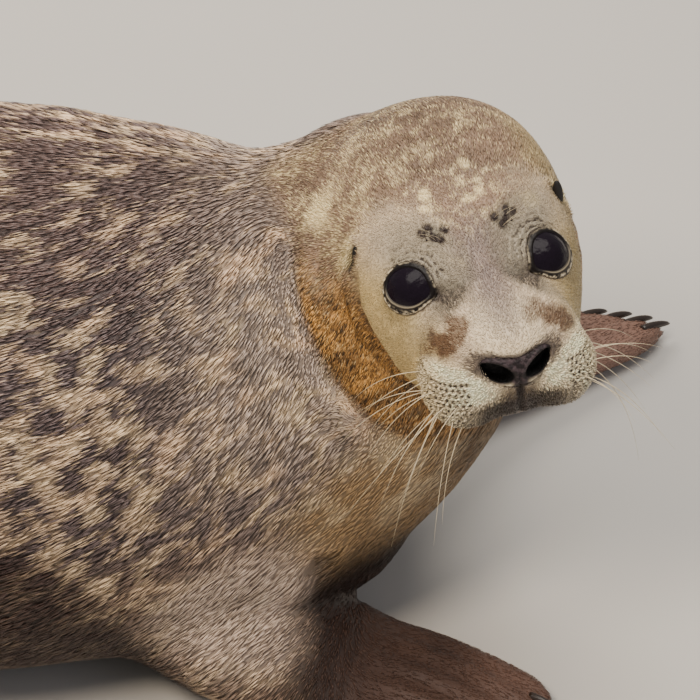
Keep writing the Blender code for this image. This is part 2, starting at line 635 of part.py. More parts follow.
def add_small_parts(made, looks):
    """Eyes, nose, ear openings and claws, each in a socket one gap wider than itself."""
    head = head_axes()
    sockets, orbits = [], []
    for name, side in (("left", 1), ("right", -1)):
        centre = (EYE_CENTRE[0], side * EYE_CENTRE[1], EYE_CENTRE[2])
        eye = moved(ball_shape(centre, (EYE_RADIUS,) * 3, segments=14, rings=8), head)
        made[f"eye_{name}"] = add_object(f"eye_{name}", mesh_from_shapes(f"eye_{name}", [eye]))
        sockets.append(moved(ball_shape(centre, (EYE_RADIUS + GAP,) * 3, segments=14, rings=8), head))
        outward = Vector((EYE_OUTWARD[0], side * EYE_OUTWARD[1], EYE_OUTWARD[2])).normalized()
        orbit = ball_shape(Vector(centre) + outward * ORBIT_OUT, (ORBIT_RADIUS,) * 3, segments=12, rings=8)
        orbits.append(moved(orbit, head))
        centre = (EAR_CENTRE[0], side * EAR_CENTRE[1], EAR_CENTRE[2] + side * EAR_SLIP)
        ear = moved(ball_shape(centre, EAR_RADII, segments=6, rings=4), head)
        made[f"ear_{name}"] = add_object(f"ear_{name}", mesh_from_shapes(f"ear_{name}", [ear]))
        wide = [radius + GAP for radius in EAR_RADII]
        sockets.append(moved(ball_shape(centre, wide, segments=6, rings=4), head))
    nose = moved(ball_shape(NOSE_CENTRE, NOSE_RADII, NOSE_SLOPE, 14, 7), head)
    made["nose"] = add_object("nose", mesh_from_shapes("nose", [nose]))
    wide = [radius + GAP for radius in NOSE_RADII]
    sockets.append(moved(ball_shape(NOSE_CENTRE, wide, NOSE_SLOPE, 14, 7), head))
    cut_by(made["head"], "head_sockets", sockets)
    cut_by(made["head"], "orbits", orbits)
    for name, limb, claw in (("fore_flipper_right", FORE_RIGHT, FORE_CLAW),
                             ("fore_flipper_left", FORE_LEFT, FORE_CLAW),
                             ("hind_flipper_right", hind_limb(-1), HIND_CLAW),
                             ("hind_flipper_left", hind_limb(1), HIND_CLAW)):
        cut_by(made[name], f"{name}_sockets", claw_shapes(limb, claw, GAP))
        short = name.replace("_flipper", "_claw")
        for number, shape in enumerate(claw_shapes(limb, claw)):
            key = f"{short}_{DIGITS - number}"
            made[key] = add_object(key, mesh_from_shapes(key, [shape]))
    for key, thing in made.items():
        for start, look in (("eye", "eye"), ("nose", "nose"), ("ear", "nose")):
            if key.startswith(start):
                thing.data.materials.append(looks[look])
        if "claw" in key:
            thing.data.materials.append(looks["claw"])


def main():
    """Clear the scene and build every sub-part."""
    for thing in list(bpy.data.objects):
        bpy.data.objects.remove(thing)
    looks = {
        "head_coat": material("head_coat", COAT_BROWN, 0.75),
        "body_coat": material("body_coat", COAT_GREY, 0.7),
        "flipper_skin": material("flipper_skin", FLIPPER_BROWN, 0.45),
        "eye": material("eye", EYE_BLACK, 0.05),
        "nose": material("nose", NOSE_GREY, 0.35),
        "claw": material("claw", CLAW_DARK, 0.35),
    }
    made = add_flesh(looks)
    add_small_parts(made, looks)
    for thing in made.values():
        for face in thing.data.polygons:
            face.use_smooth = True


main()
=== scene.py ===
"""Visual model of a harbor seal at rest: one skin and its short wet coat, eyes, nose, whiskers and claws.

Frame: metres, +Z up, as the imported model.  The script is laid out as an add-on and run as a script.
"""
import math
from contextlib import contextmanager

import bmesh
import bpy
import numpy as np
from mathutils import Matrix, Vector
from mathutils.bvhtree import BVHTree


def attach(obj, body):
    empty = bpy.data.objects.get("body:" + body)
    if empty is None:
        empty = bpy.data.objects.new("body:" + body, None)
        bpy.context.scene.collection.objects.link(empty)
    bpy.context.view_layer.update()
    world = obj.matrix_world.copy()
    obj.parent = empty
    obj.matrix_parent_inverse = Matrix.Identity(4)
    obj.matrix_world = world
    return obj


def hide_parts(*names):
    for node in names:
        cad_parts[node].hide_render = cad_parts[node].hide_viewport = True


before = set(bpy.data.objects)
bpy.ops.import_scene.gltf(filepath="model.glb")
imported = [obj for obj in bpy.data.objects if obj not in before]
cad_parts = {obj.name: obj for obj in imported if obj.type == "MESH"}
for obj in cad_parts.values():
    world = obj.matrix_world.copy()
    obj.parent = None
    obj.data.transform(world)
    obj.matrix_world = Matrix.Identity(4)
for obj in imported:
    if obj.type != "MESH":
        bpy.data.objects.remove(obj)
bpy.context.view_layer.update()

bl_info = {
    "name": "Harbor seal",
    "version": (1, 0, 0),
    "blender": (4, 5, 0),
    "location": "3D View > Sidebar > Seal",
    "description": "Adds the skin, coat, eyes, nose, whiskers and claws of a harbor seal",
    "category": "Add Mesh",
}

MM = 0.001

# ---- the flesh, with the same values as the part's source
VOXEL = 0.0028              # grain of the fine surface the skin is drawn onto
ROUND = 2.2                 # power of the rounded sections: 2 is an oval, more is squarer
EYE_MIDDLE = Vector((0.1397, -0.088, 0.3097))
HEAD_TURN = math.radians(-74.8)
HEAD_RISE = math.radians(10.0)
HEAD_TILT = math.radians(4.8)
HEAD_ROUND = 2.25
HEAD_MIDDLE = (0.42, 0.58)  # height where a section is widest: shares of its top and its underside
# along x, half width, height of the top, height of the underside
HEAD_STATIONS = (
    (0.065, 0.003, -0.027, -0.036), (0.062, 0.018, -0.017, -0.05), (0.056, 0.031, -0.011, -0.062),
    (0.044, 0.043, -0.006, -0.071), (0.022, 0.048, 0.003, -0.077), (0.006, 0.0525, 0.012, -0.079),
    (-0.01, 0.059, 0.023, -0.081), (-0.027, 0.0655, 0.0345, -0.084), (-0.047, 0.0705, 0.044, -0.087),
    (-0.07, 0.0735, 0.0515, -0.09), (-0.095, 0.0755, 0.053, -0.093), (-0.12, 0.074, 0.047, -0.095),
    (-0.145, 0.0685, 0.034, -0.092), (-0.165, 0.051, 0.017, -0.078), (-0.175, 0.02, -0.02, -0.04),
)
PAD_CENTRE = (0.038, 0.0255, -0.048)
PAD_RADII = (0.0265, 0.0245, 0.0235)
EYE_CENTRE = (-0.0108, 0.035, -0.0125)
EYE_RADIUS = 0.0195
EYE_OUTWARD = (0.62, 0.45, 0.64)
EYE_INNER = (0.55, -1.0, -0.3)         # from the eye towards the nose
EAR_CENTRE = (-0.0405, 0.063, 0.005)
EAR_SLIP = 0.005
NECK_LOW = Vector((0.01, 0.004, 0.147))
NECK_MIDDLE = Vector((0.058, 0.008, 0.184))
NECK_HIGH = Vector((0.09, 0.022, 0.228))
NECK_RADII = (0.13, 0.114, 0.086)
NECK_BALLS = 11
EASED = (
    ((0.045, 0.0, 0.3), 0.075), ((0.02, 0.095, 0.23), 0.11), ((0.13, 0.06, 0.19), 0.075),
    ((0.02, 0.13, 0.06), 0.075), ((-0.06, -0.13, 0.09), 0.08), ((-0.95, -0.08, 0.07), 0.085),
)
EASE_PASSES = 90            # the hollows above are evened within a reach of their middles
# x, y, height of the middle, half width, up to the back, down to the belly
TRUNK_STATIONS = (
    (0.146, 0.008, 0.158, 0.004, 0.004, 0.004), (0.138, 0.008, 0.157, 0.035, 0.035, 0.035),
    (0.121, 0.007, 0.154, 0.061, 0.06, 0.064), (0.092, 0.005, 0.151, 0.086, 0.092, 0.099),
    (0.05, 0.002, 0.147, 0.113, 0.122, 0.135), (0.0, 0.0, 0.146, 0.14, 0.141, 0.1495),
    (-0.07, 0.0, 0.149, 0.163, 0.147, 0.151), (-0.14, 0.0, 0.151, 0.178, 0.151, 0.154),
    (-0.3, -0.002, 0.15, 0.186, 0.153, 0.1535), (-0.45, -0.01, 0.139, 0.173, 0.143, 0.142),
    (-0.6, -0.024, 0.117, 0.143, 0.119, 0.119), (-0.75, -0.044, 0.092, 0.103, 0.09, 0.094),
    (-0.86, -0.062, 0.075, 0.07, 0.063, 0.068), (-0.93, -0.075, 0.066, 0.047, 0.042, 0.046),
    (-0.97, -0.083, 0.064, 0.026, 0.022, 0.024), (-0.985, -0.086, 0.064, 0.003, 0.003, 0.003),
)
STATION_PLACES = (0.0, 0.34, 0.62, 1.0)
DIGITS = 5
FORE_RIGHT = {
    "line": ((-0.05, -0.085, 0.085), (0.025, -0.108, 0.044), (0.096, -0.115, 0.015),
             (0.179, -0.156, 0.0078)),
    "lead": ((0.6, 0.25, 0.75), (0.35, 0.85, 0.35), (0.25, 0.97, 0.05), (0.6, 0.8, 0.0)),
    "half_width": (0.055, 0.05, 0.045, 0.043),
    "half_thick": (0.045, 0.025, 0.016, 0.0084),
    "slant": -0.03,
    "fork": 0.0,
}
FORE_LEFT = {
    "line": ((0.0, 0.09, 0.085), (0.08, 0.134, 0.044), (0.161, 0.177, 0.015),
             (0.266, 0.243, 0.0078)),
    "lead": ((0.8, -0.25, 0.55), (0.6, -0.75, 0.25), (0.6, -0.8, 0.05), (0.7, -0.71, 0.0)),
    "half_width": (0.055, 0.048, 0.042, 0.036),
    "half_thick": (0.045, 0.025, 0.016, 0.0088),
    "slant": -0.055,
    "fork": 0.0,
}
RUMP = (-0.905, -0.071, 0.067)
REARWARD = (-0.975, -0.22, 0.0)
HIND_STATIONS = ((0.0, 0.014, 0.066), (0.095, 0.034, 0.058), (0.165, 0.056, 0.047), (0.24, 0.082, 0.042))
HIND_SPREAD = (-0.2, 0.55, -0.83)
HIND_HALF_WIDTH = (0.032, 0.031, 0.043, 0.061)
HIND_HALF_THICK = (0.024, 0.017, 0.011, 0.0068)
HIND_FORK = 0.022
TAIL = {
    "line": ((-0.915, -0.072, 0.086), (-0.98, -0.087, 0.101), (-1.008, -0.093, 0.106),
             (-1.05, -0.103, 0.11)),
    "lead": ((0.22, -0.975, 0.0),) * 4,
    "half_width": (0.024, 0.021, 0.019, 0.014),
    "half_thick": (0.02, 0.013, 0.01, 0.007),
    "slant": 0.0,
    "fork": 0.0,
}
DIGIT_RIDGE = 0.16
DIGIT_SCALLOP = 0.0035
FORE_CLAW = (0.024, 0.0032, 0.009)
HIND_CLAW = (0.018, 0.0026, 0.008)
CLAW_DROOP = math.radians(20)
FLESH = ("head", "lower_jaw", "neck", "trunk", "hindquarters", "tail", "fore_flipper_left",
         "fore_flipper_right", "hind_flipper_left", "hind_flipper_right")

# ---- the skin's own detail
SKIN_GRAIN = 0.0068         # side of a skin square before the face, folds and flippers are divided
# outer fold of the neck, in the world, from the nape round the right side to the throat
NECK_FOLD = ((0.039, -0.014, 0.295), (0.034, -0.035, 0.286), (0.033, -0.051, 0.278),
             (0.036, -0.072, 0.262), (0.048, -0.088, 0.245), (0.062, -0.098, 0.227),
             (0.076, -0.102, 0.21), (0.097, -0.1, 0.188))
FOLD_POINT = (0.053, -0.07, 0.249)
FOLD_FACING = (0.648, -0.367, 0.667)
# edge of the cheek below the ear, in the head's own axes
CHEEK_FOLD = ((-0.036, -0.061, -0.002), (-0.029, -0.066, -0.024), (-0.019, -0.063, -0.037),
              (-0.008, -0.057, -0.05), (0.0, -0.048, -0.064))
# tear line from an eye's inner corner down the muzzle
TEAR_LINE = ((0.008, 0.0195, -0.006), (0.02, 0.018, -0.013), (0.03, 0.021, -0.019))
# hollow between the chest and the right fore flipper, in the world
ARMPIT_LINE = ((0.055, -0.085, 0.125), (0.05, -0.118, 0.102), (0.062, -0.108, 0.06))
EAR_SLIT = (0.0026, 0.008, 0.0086)      # reach of an ear's pressed opening along the head's axes
EAR_BED = (0.003, 0.009, 0.0088)       # reach without hair round it
# where the face ends behind: heights in the head's axes, and the place along the head at each
FACE_EDGE_HEIGHTS = (-0.08, -0.064, -0.05, -0.037, -0.024, -0.004, 0.02)
FACE_EDGE = (0.012, 0.0, -0.008, -0.019, -0.029, -0.034, -0.04)
LID_ANGLE = {1: 41.0, -1: 39.5}     # degrees from the middle of the left and right opening to its edge
LID_HEIGHT = 0.0014         # how far a lid stands off the eyeball
NOSE_MIDDLE = -0.0318        # height of the nose's middle in the head's axes
# outline of the nose leather: angle round its middle from the seal's left, degrees, and reach, mm
NOSE_OUTLINE = ((-90, 10.0), (-43, 11.5), (-19, 15.0), (3, 20.0), (18, 22.2), (29, 20.5), (39, 16.0),
                (46, 13.0), (55, 10.4), (72, 8.2), (90, 7.4))
NOSTRIL = (0.0122, 0.001, 0.01, 0.0054)      # aside, up, half length, half width
NOSTRIL_TURN = math.radians(32)
NOSTRIL_DEPTH = 0.0085
NOSE_BED = 0.0135           # how far the skin is sunk behind the nose leather
# whisker roots on a pad: first turn and rise, steps between roots and rows, in degrees, and their numbers
PIT_TURN, PIT_RISE = 10.0, 32.0
PIT_STEP, PIT_ROW = 9.0, 7.4
PIT_NUMBERS, PIT_ROWS = 14, 11
# dark roots of the stiff hairs over an eye: aside and up from their middle
BROW_MIDDLE = (-0.0092, 0.0208, 0.02)
BROW_ROOTS = ((0.0019, 0.0025), (-0.0062, 0.0019), (0.0058, -0.0002), (-0.0028, -0.0021), (0.0004, -0.0012))
# how steeply the hair slants down and back, in degrees, at places along the trunk
SLANTS = ((-0.35, 0), (-0.128, 13), (-0.095, 21), (-0.062, 29), (-0.028, 35), (-0.012, 42), (0.005, 50),
          (0.022, 58), (0.05, 56), (0.09, 54), (0.13, 42))
SLANT_RISE = math.radians(40)   # the slants are as seen from this far above level, beside the animal
TRUNK_MIDDLE = (-0.05, -0.1, 0.22)
UNWRAP_START, UNWRAP_LENGTH = -1.2, 1.5     # stretch along x that the unwrapped trunk takes up
SIDES = (("left", 1), ("right", -1))


def linear(text):
    """An sRGB hex colour as three linear numbers."""
    values = [int(text[start:start + 2], 16) / 255 for start in (1, 3, 5)]
    return [v / 12.92 if v <= 0.04045 else ((v + 0.055) / 1.055) ** 2.4 for v in values]


def length(name, description, default):
    """A length a user may change."""
    return bpy.props.FloatProperty(name=name, description=description, default=default, min=0.0,
                                   unit="LENGTH", precision=4)


def colour(name, description, text):
    """A colour a user may change, given as an sRGB hex value."""
    return bpy.props.FloatVectorProperty(name=name, description=description, subtype="COLOR", size=3,
                                         min=0.0, max=1.0, default=linear(text))


class SealSizes(bpy.types.PropertyGroup):
    """Sizes of the coat and of the small parts."""
    trunk_coat: length("Trunk coat depth", "How far the trunk's coat stands off the skin", 0.0022)
    face_coat: length("Face coat depth", "How far the face's coat stands off the skin", 0.0009)
    flipper_coat: length("Flipper coat depth", "How far the flippers' coat stands off the skin", 0.0005)
    trunk_lock: length("Trunk lock length", "Length of a wet lock on the trunk", 0.012)
    crown_lock: length("Crown lock length", "Length of a lock on the crown and cheeks", 0.006)
    face_lock: length("Face lock length", "Length of a lock on the muzzle and round the eyes", 0.0028)
    whisker: length("Whisker length", "Length of the longest whisker", 0.072)
    whisker_root: length("Whisker root width", "Width of a whisker at its root", 0.00055)


class SealColours(bpy.types.PropertyGroup):
    """Colours of the coat, skin and small parts."""
    back: colour("Back", "Top of the back and rump", "#6e5c58")
    # the shoulder's paler fur, made lighter still as painted sheen of its wet coat; also the colour of the
    # painted sheen over the near shoulder and flipper
    shoulder: colour("Shoulder", "Shoulder beside the neck fold", "#bcaa9c")
    flank: colour("Flank", "Sides of the trunk", "#685b5b")
    # the underside's darker wet fur with painted shade in it; it also paints shade on the low chest
    belly: colour("Belly", "Underside of the trunk", "#3c2b28")
    mark: colour("Pale marks", "Rings and spots of the trunk", "#f5dfb8")
    warm_mark: colour("Warm marks", "Pinkish rings and spots of the trunk", "#e6c2a4")
    collar: colour("Collar", "Golden collar behind the cheek", "#b98b4e")
    chest: colour("Chest", "Breast and throat", "#a98c66")
    crown: colour("Crown", "Top of the head", "#927a66")
    fleck: colour("Crown flecks", "Pale flecks of the crown and brow", "#f6e0ae")
    face: colour("Face", "Middle of the face", "#d6c2a6")
    bridge: colour("Bridge", "Middle line of the face", "#8c7c75")
    cheek: colour("Cheek", "Cheeks below the eyes", "#c8b07c")
    eye_ring: colour("Eye surround", "Grey skin round the eyes", "#74746a")
    patch: colour("Muzzle patches", "Brown patches above the whisker pads", "#614630")
    pad: colour("Whisker pads", "Cream of the whisker pads", "#ecddbd")
    # near-black of small dark marks; also laid as painted shade in the mouth line, the groove under the
    # nose, round the ear openings and in the eye wrinkles
    mouth: colour("Mouth", "Chin, lips and the groove under the nose", "#2a1f1e")
    flipper: colour("Flippers", "Short wet fur of the flippers", "#634a3f")
    eye: colour("Eye", "Dark eyeball", "#120c15")
    nose: colour("Nose", "Bare nose leather", "#332a2d")
    claw: colour("Claws", "Horn of the claws", "#2a201b")
    whisker: colour("Whiskers", "Whiskers", "#d2c3a4")
    floor: colour("Floor", "Studio floor", "#bcb9b4")


# ---- helpers for arrays
def smooth_curve(places, values, at):
    """Values between stations by a cubic that never overshoots a station."""
    places = np.asarray(places, float)
    values = np.asarray(values, float)
    steps = np.diff(places)
    slopes = np.diff(values, axis=0) / steps[:, None]
    before, after = slopes[:-1], slopes[1:]
    same_way = before * after > 0
    near = (2 * steps[1:] + steps[:-1])[:, None]
    far = (steps[1:] + 2 * steps[:-1])[:, None]
    mean = (near + far) / (near / np.where(same_way, before, 1) + far / np.where(same_way, after, 1))
    tangents = np.zeros_like(values)
    tangents[1:-1] = np.where(same_way, mean, 0)
    tangents[0], tangents[-1] = slopes[0], slopes[-1]
    at = np.clip(np.asarray(at, float), places[0], places[-1])
    span = np.clip(np.searchsorted(places, at) - 1, 0, len(steps) - 1)
    t = ((at - places[span]) / steps[span])[:, None]
    reach = steps[span][:, None]
    return ((2 * t**3 - 3 * t**2 + 1) * values[span] + (t**3 - 2 * t**2 + t) * reach * tangents[span]
            + (3 * t**2 - 2 * t**3) * values[span + 1] + (t**3 - t**2) * reach * tangents[span + 1])


def along_stations(stations, at):
    """Rows of a table of evenly numbered stations at shares of the way through it."""
    return smooth_curve(np.linspace(0, 1, len(stations)), stations, at)


def unit(rows):
    """Each row of an array at length one."""
    return rows / np.maximum(np.linalg.norm(rows, axis=-1, keepdims=True), 1e-9)


def flattened(way, out):
    """Directions without their part along the way out of the surface."""
    return way - (way * out).sum(1, keepdims=True) * out


def step(value, low, high):
    """Nought below low, one above high, eased between; low may be above high."""
    t = np.clip((value - low) / (high - low), 0, 1)
    return t * t * (3 - 2 * t)


def mixed(base, over, share):
    """Base turned towards over by a share for each row."""
    return base + (over - base) * share[:, None]


def layered(base, *coats):
    """Base with coats laid over it in turn, each a colour and its share for each row."""
    for over, share in coats:
        base = mixed(base, over, share)
    return base


def mirrored(place, side):
    """A place or direction given for the left, carried to a side: 1 is the left and -1 the right."""
    return np.array((place[0], side * place[1], place[2]))


def reach_share(points, centre, reach):
    """Distance of points from a middle, as a share of the reach along each axis."""
    return np.linalg.norm((points - np.asarray(centre)) / np.asarray(reach), axis=1)


def circle_angles(sides):
    """Angles of equal steps round a circle."""
    return np.linspace(0, 2 * np.pi, sides, endpoint=False)


def turned(angle, first, second):
    """Directions at angles from one direction towards another that is square to it."""
    return np.cos(angle)[..., None] * first + np.sin(angle)[..., None] * second


def noise(points, grain, seed):
    """Smooth noise from 0 to 1: random numbers at the corners of cells, eased between them."""
    place = np.asarray(points) / grain + seed * 17.13
    low = np.floor(place).astype(np.int64)
    t = place - low
    t = t * t * (3 - 2 * t)
    total = np.zeros(len(place))
    for corner in np.ndindex(2, 2, 2):
        key = ((low + corner) * (73856093, 19349663, 83492791)).sum(1) ^ (seed * 2654435761)
        key = (key ^ (key >> 15)) * 2246822519 & 0xFFFFFFFF
        key = (key ^ (key >> 13)) * 3266489917 & 0xFFFFFFFF
        total += np.where(corner, t, 1 - t).prod(1) * ((key ^ (key >> 16)) & 0xFFFFFF) / 0xFFFFFF
    return total


def rough_noise(points, grain, seed, layers=3):
    """Noise with finer noise added at half the strength each time, from 0 to 1."""
    total, strength = 0.0, 0.0
    for layer in range(layers):
        share = 0.5 ** layer
        total = total + share * noise(points, grain * share, seed + layer)
        strength += share
    return total / strength


def line_distance(points, line):
    """Distance of points from a bent line, and how far along it, from 0 to 1, they are nearest."""
    line = np.asarray(line, float)
    best = np.full(len(points), np.inf)
    place = np.zeros(len(points))
    for number, (start, end) in enumerate(zip(line[:-1], line[1:])):
        way = end - start
        share = np.clip((points - start) @ way / (way @ way), 0, 1)
        away = np.linalg.norm(points - start - share[:, None] * way, axis=1)
        nearer = away < best
        best = np.where(nearer, away, best)
        place = np.where(nearer, (number + share) / (len(line) - 1), place)
    return best, place


def head_axes():
    """Matrix from the head's own axes to the world's."""
    turn = Matrix.Rotation(HEAD_TURN, 4, "Z") @ Matrix.Rotation(-HEAD_RISE, 4, "Y")
    return Matrix.Translation(EYE_MIDDLE) @ turn @ Matrix.Rotation(HEAD_TILT, 4, "X")


HEAD_FRAME = np.array(head_axes().to_3x3())


def to_head(points):
    """World points in the head's own axes."""
    return (points - np.array(EYE_MIDDLE)) @ HEAD_FRAME


def from_head(points):
    """Points of the head's own axes in the world."""
    return np.asarray(points, float) @ HEAD_FRAME.T + np.array(EYE_MIDDLE)


# ---- helpers for objects
def add_object(name, data):
    """Put a mesh, a lamp or a camera in the scene as an object at the origin."""
    made = bpy.data.objects.new(name, data)
    bpy.context.scene.collection.objects.link(made)
    return made


def smooth_faces(mesh):
    """Shade every face of a mesh smooth."""
    mesh.polygons.foreach_set("use_smooth", np.ones(len(mesh.polygons), bool))
    mesh.update()


def paint(mesh, name, colours):
    """Keep a linear colour for each vertex in a named attribute."""
    layer = mesh.attributes.new(name, "FLOAT_COLOR", "POINT")
    layer.data.foreach_set("color", np.c_[colours, np.ones(len(colours))].astype(np.float32).ravel())


def kept(mesh, name, rows):
    """Keep a vector for each vertex in a named attribute."""
    mesh.attributes.new(name, "FLOAT_VECTOR", "POINT").data.foreach_set(
        "vector", np.asarray(rows, np.float32).ravel())


def read_rows(items, name, width, kind=float):
    """One property of all a mesh's vertices, edges or triangles as rows."""
    rows = np.empty(len(items) * width, kind)
    items.foreach_get(name, rows)
    return rows.reshape(-1, width)


def read_points(mesh):
    """Vertex places of a mesh."""
    return read_rows(mesh.vertices, "co", 3)


def write_points(mesh, points):
    """Move the vertices of a mesh."""
    mesh.vertices.foreach_set("co", points.ravel())
    mesh.update()


def read_vectors(mesh, name):
    """Rows of a vector attribute."""
    return read_rows(mesh.attributes[name].data, "vector", 3, np.float32).astype(float)


def read_triangles(mesh):
    """Vertex numbers of each triangle of a mesh."""
    mesh.calc_loop_triangles()
    return read_rows(mesh.loop_triangles, "vertices", 3, np.int32)


def read_links(mesh):
    """Each edge both ways: the vertices at its one end and at its other."""
    start, end = read_rows(mesh.edges, "vertices", 2, np.int32).T
    return np.concatenate([start, end]), np.concatenate([end, start])


def neighbour_mean(values, links):
    """Mean of each row's neighbours along the edges."""
    ends, others = links
    count = np.maximum(np.bincount(ends, minlength=len(values)), 1)
    sums = [np.bincount(ends, values[others, axis], len(values)) for axis in range(values.shape[1])]
    return np.stack(sums, 1) / count[:, None]


def triangle_facing(points, corners):
    """Outward direction of each triangle, as long as twice its area."""
    one, two, three = (points[corners[:, index]] for index in range(3))
    return np.cross(two - one, three - one)


def vertex_normals(points, corners):
    """Outward direction at each vertex: the mean of its triangles' directions by area."""
    facing = triangle_facing(points, corners)
    total = np.zeros_like(points)
    for axis, index in np.ndindex(3, 3):
        total[:, axis] += np.bincount(corners[:, index], facing[:, axis], len(points))
    return unit(total)


@contextmanager
def edited(mesh):
    """A mesh opened for work on its vertices and faces, and written back afterwards."""
    whole = bmesh.new()
    whole.from_mesh(mesh)
    yield whole
    whole.to_mesh(mesh)
    whole.free()


def ring_quads(count, sides, wrap_rows=False):
    """Squares between rings of equal length, each wrapped round itself.  If asked, squares lead from
    the last ring to the first too; otherwise the first and last rings are closed with a face."""
    ring, side = np.meshgrid(np.arange(count if wrap_rows else count - 1), np.arange(sides), indexing="ij")
    ahead, beside = (ring + 1) % count, (side + 1) % sides
    quads = np.stack([ring * sides + side, ring * sides + beside, ahead * sides + beside,
                      ahead * sides + side], -1).reshape(-1, 4).tolist()
    if wrap_rows:
        return quads
    return quads + [list(range(sides))[::-1], list(range((count - 1) * sides, count * sides))]


def grid_mesh(name, rows, colours=None, wrap_rows=False):
    """A closed mesh through rings of points, with a colour for each point if there are any."""
    mesh = bpy.data.meshes.new(name)
    mesh.from_pydata(rows.reshape(-1, 3).tolist(), [], ring_quads(*rows.shape[:2], wrap_rows))
    if colours is not None:
        paint(mesh, "coat", colours.reshape(-1, 3))
    with edited(mesh) as whole:
        bmesh.ops.recalc_face_normals(whole, faces=whole.faces)
    smooth_faces(mesh)
    return mesh


def joined(name, meshes):
    """One mesh holding several, with their colours."""
    result = bpy.data.meshes.new(name)
    with edited(result) as whole:
        for mesh in meshes:
            whole.from_mesh(mesh)
            bpy.data.meshes.remove(mesh)
    smooth_faces(result)
    return result


def finished_mesh(thing):
    """The mesh an object has once its modifiers have run."""
    bpy.context.view_layer.update()
    graph = bpy.context.evaluated_depsgraph_get()
    return bpy.data.meshes.new_from_object(thing.evaluated_get(graph), depsgraph=graph)


def place_piece(name, mesh, look, nodes=()):
    """Finish a piece: its look, the body it rides on and the nodes it stands for."""
    made = add_object(name, mesh)
    made.data.materials.clear()
    made.data.materials.append(look)
    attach(made, "root")
    if nodes:
        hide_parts(*nodes)


# ---- the flesh's shapes
def ring_shape(rings):
    """A closed surface through rings of equal length, with a face over each end."""
    return rings.reshape(-1, 3), ring_quads(*rings.shape[:2])


def section_angles(sides, roundness):
    """Cosine and sine around a section, pushed out towards a rounded square."""
    cosine, sine = np.cos(circle_angles(sides)), np.sin(circle_angles(sides))
    push = (np.abs(cosine) ** roundness + np.abs(sine) ** roundness) ** (-1 / roundness)
    return cosine * push, sine * push


def head_shape(count=72, sides=80):
    """The skull and jaws without pads: rounded sections square to the head's own x."""
    rows = along_stations(HEAD_STATIONS, np.linspace(0, 1, count))
    along, half, top, under = (rows[:, index:index + 1] for index in range(4))
    middle = HEAD_MIDDLE[0] * top + HEAD_MIDDLE[1] * under
    cosine, sine = section_angles(sides, HEAD_ROUND)
    high = middle + np.where(sine > 0, top - middle, middle - under) * sine
    return ring_shape(from_head(np.stack([along + 0 * sine, half * cosine, high], -1)))


def ball_rings(centre, radii, count=32, sides=48):
    """An ellipsoid: circles of latitude from pole to pole."""
    polar = np.linspace(0.02, np.pi - 0.02, count)[:, None]
    angle = circle_angles(sides)
    rings = np.stack([np.sin(polar) * np.cos(angle), np.sin(polar) * np.sin(angle),
                      np.cos(polar) + 0 * angle], -1)
    return rings * np.asarray(radii) + np.asarray(centre)


def trunk_shape(count=110, sides=96):
    """The trunk: rounded sections square to a level line that bends to the seal's right."""
    rows = along_stations(TRUNK_STATIONS, np.linspace(0, 1, count))
    centre = rows[:, :3]
    forward = unit(np.gradient(centre, axis=0) * -1)
    left = unit(np.cross((0.0, 0.0, 1.0), forward))
    up = np.cross(forward, left)
    cosine, sine = section_angles(sides, ROUND)
    across = rows[:, 3:4] * cosine
    high = np.where(sine > 0, rows[:, 4:5], rows[:, 5:6]) * sine
    return ring_shape(centre[:, None] + across[..., None] * left[:, None] + high[..., None] * up[:, None])


def neck_shapes():
    """Overlapping balls along a bent line from the shoulders to the back of the head."""
    shapes = []
    bend = NECK_MIDDLE * 2 - (NECK_LOW + NECK_HIGH) / 2
    for share in np.linspace(0, 1, NECK_BALLS):
        centre = NECK_LOW * (1 - share) ** 2 + bend * 2 * share * (1 - share) + NECK_HIGH * share ** 2
        shapes.append(ring_shape(ball_rings(centre, (np.interp(share, (0, 0.5, 1), NECK_RADII),) * 3)))
    return shapes


def hind_limb(side):
    """A hind flipper as a limb, fanned out and resting on its lower edge; side is 1 for the left."""
    rearward = np.array(REARWARD)
    outward = np.array((rearward[1], -rearward[0], 0.0)) * side
    rump = np.array((RUMP[0], RUMP[1], 0.0))
    line = [rump + rearward * back + outward * out + np.array((0, 0, high))
            for back, out, high in HIND_STATIONS]
    lead = rearward * HIND_SPREAD[0] + outward * HIND_SPREAD[1] + np.array((0, 0, HIND_SPREAD[2]))
    return {"line": line, "lead": (lead,) * 4, "half_width": HIND_HALF_WIDTH,
            "half_thick": HIND_HALF_THICK, "slant": 0.0, "fork": HIND_FORK}


LIMBS = {"fore_right": FORE_RIGHT, "fore_left": FORE_LEFT, "hind_right": hind_limb(-1),
         "hind_left": hind_limb(1), "tail": TAIL}


def limb_frame(limb, at):
    """Centre, forward, leading side and normal of a limb at shares of its length."""
    centre, ahead, behind = (smooth_curve(STATION_PLACES, limb["line"], np.clip(at + shift, 0, 1))
                             for shift in (0.0, 0.01, -0.01))
    lead = unit(smooth_curve(STATION_PLACES, unit(np.array(limb["lead"], float)), at))
    forward = unit(ahead - behind)
    normal = unit(np.cross(forward, lead))
    return centre, forward, unit(np.cross(normal, forward)), normal


def limb_sizes(limb, at):
    """Half width and half thickness of a limb at shares of its length."""
    return smooth_curve(STATION_PLACES, np.stack([limb["half_width"], limb["half_thick"]], 1), at).T


def digit_wave(across):
    """One at the middle of each digit and minus one in the web between."""
    return -np.cos(DIGITS * np.pi * (across + 1))


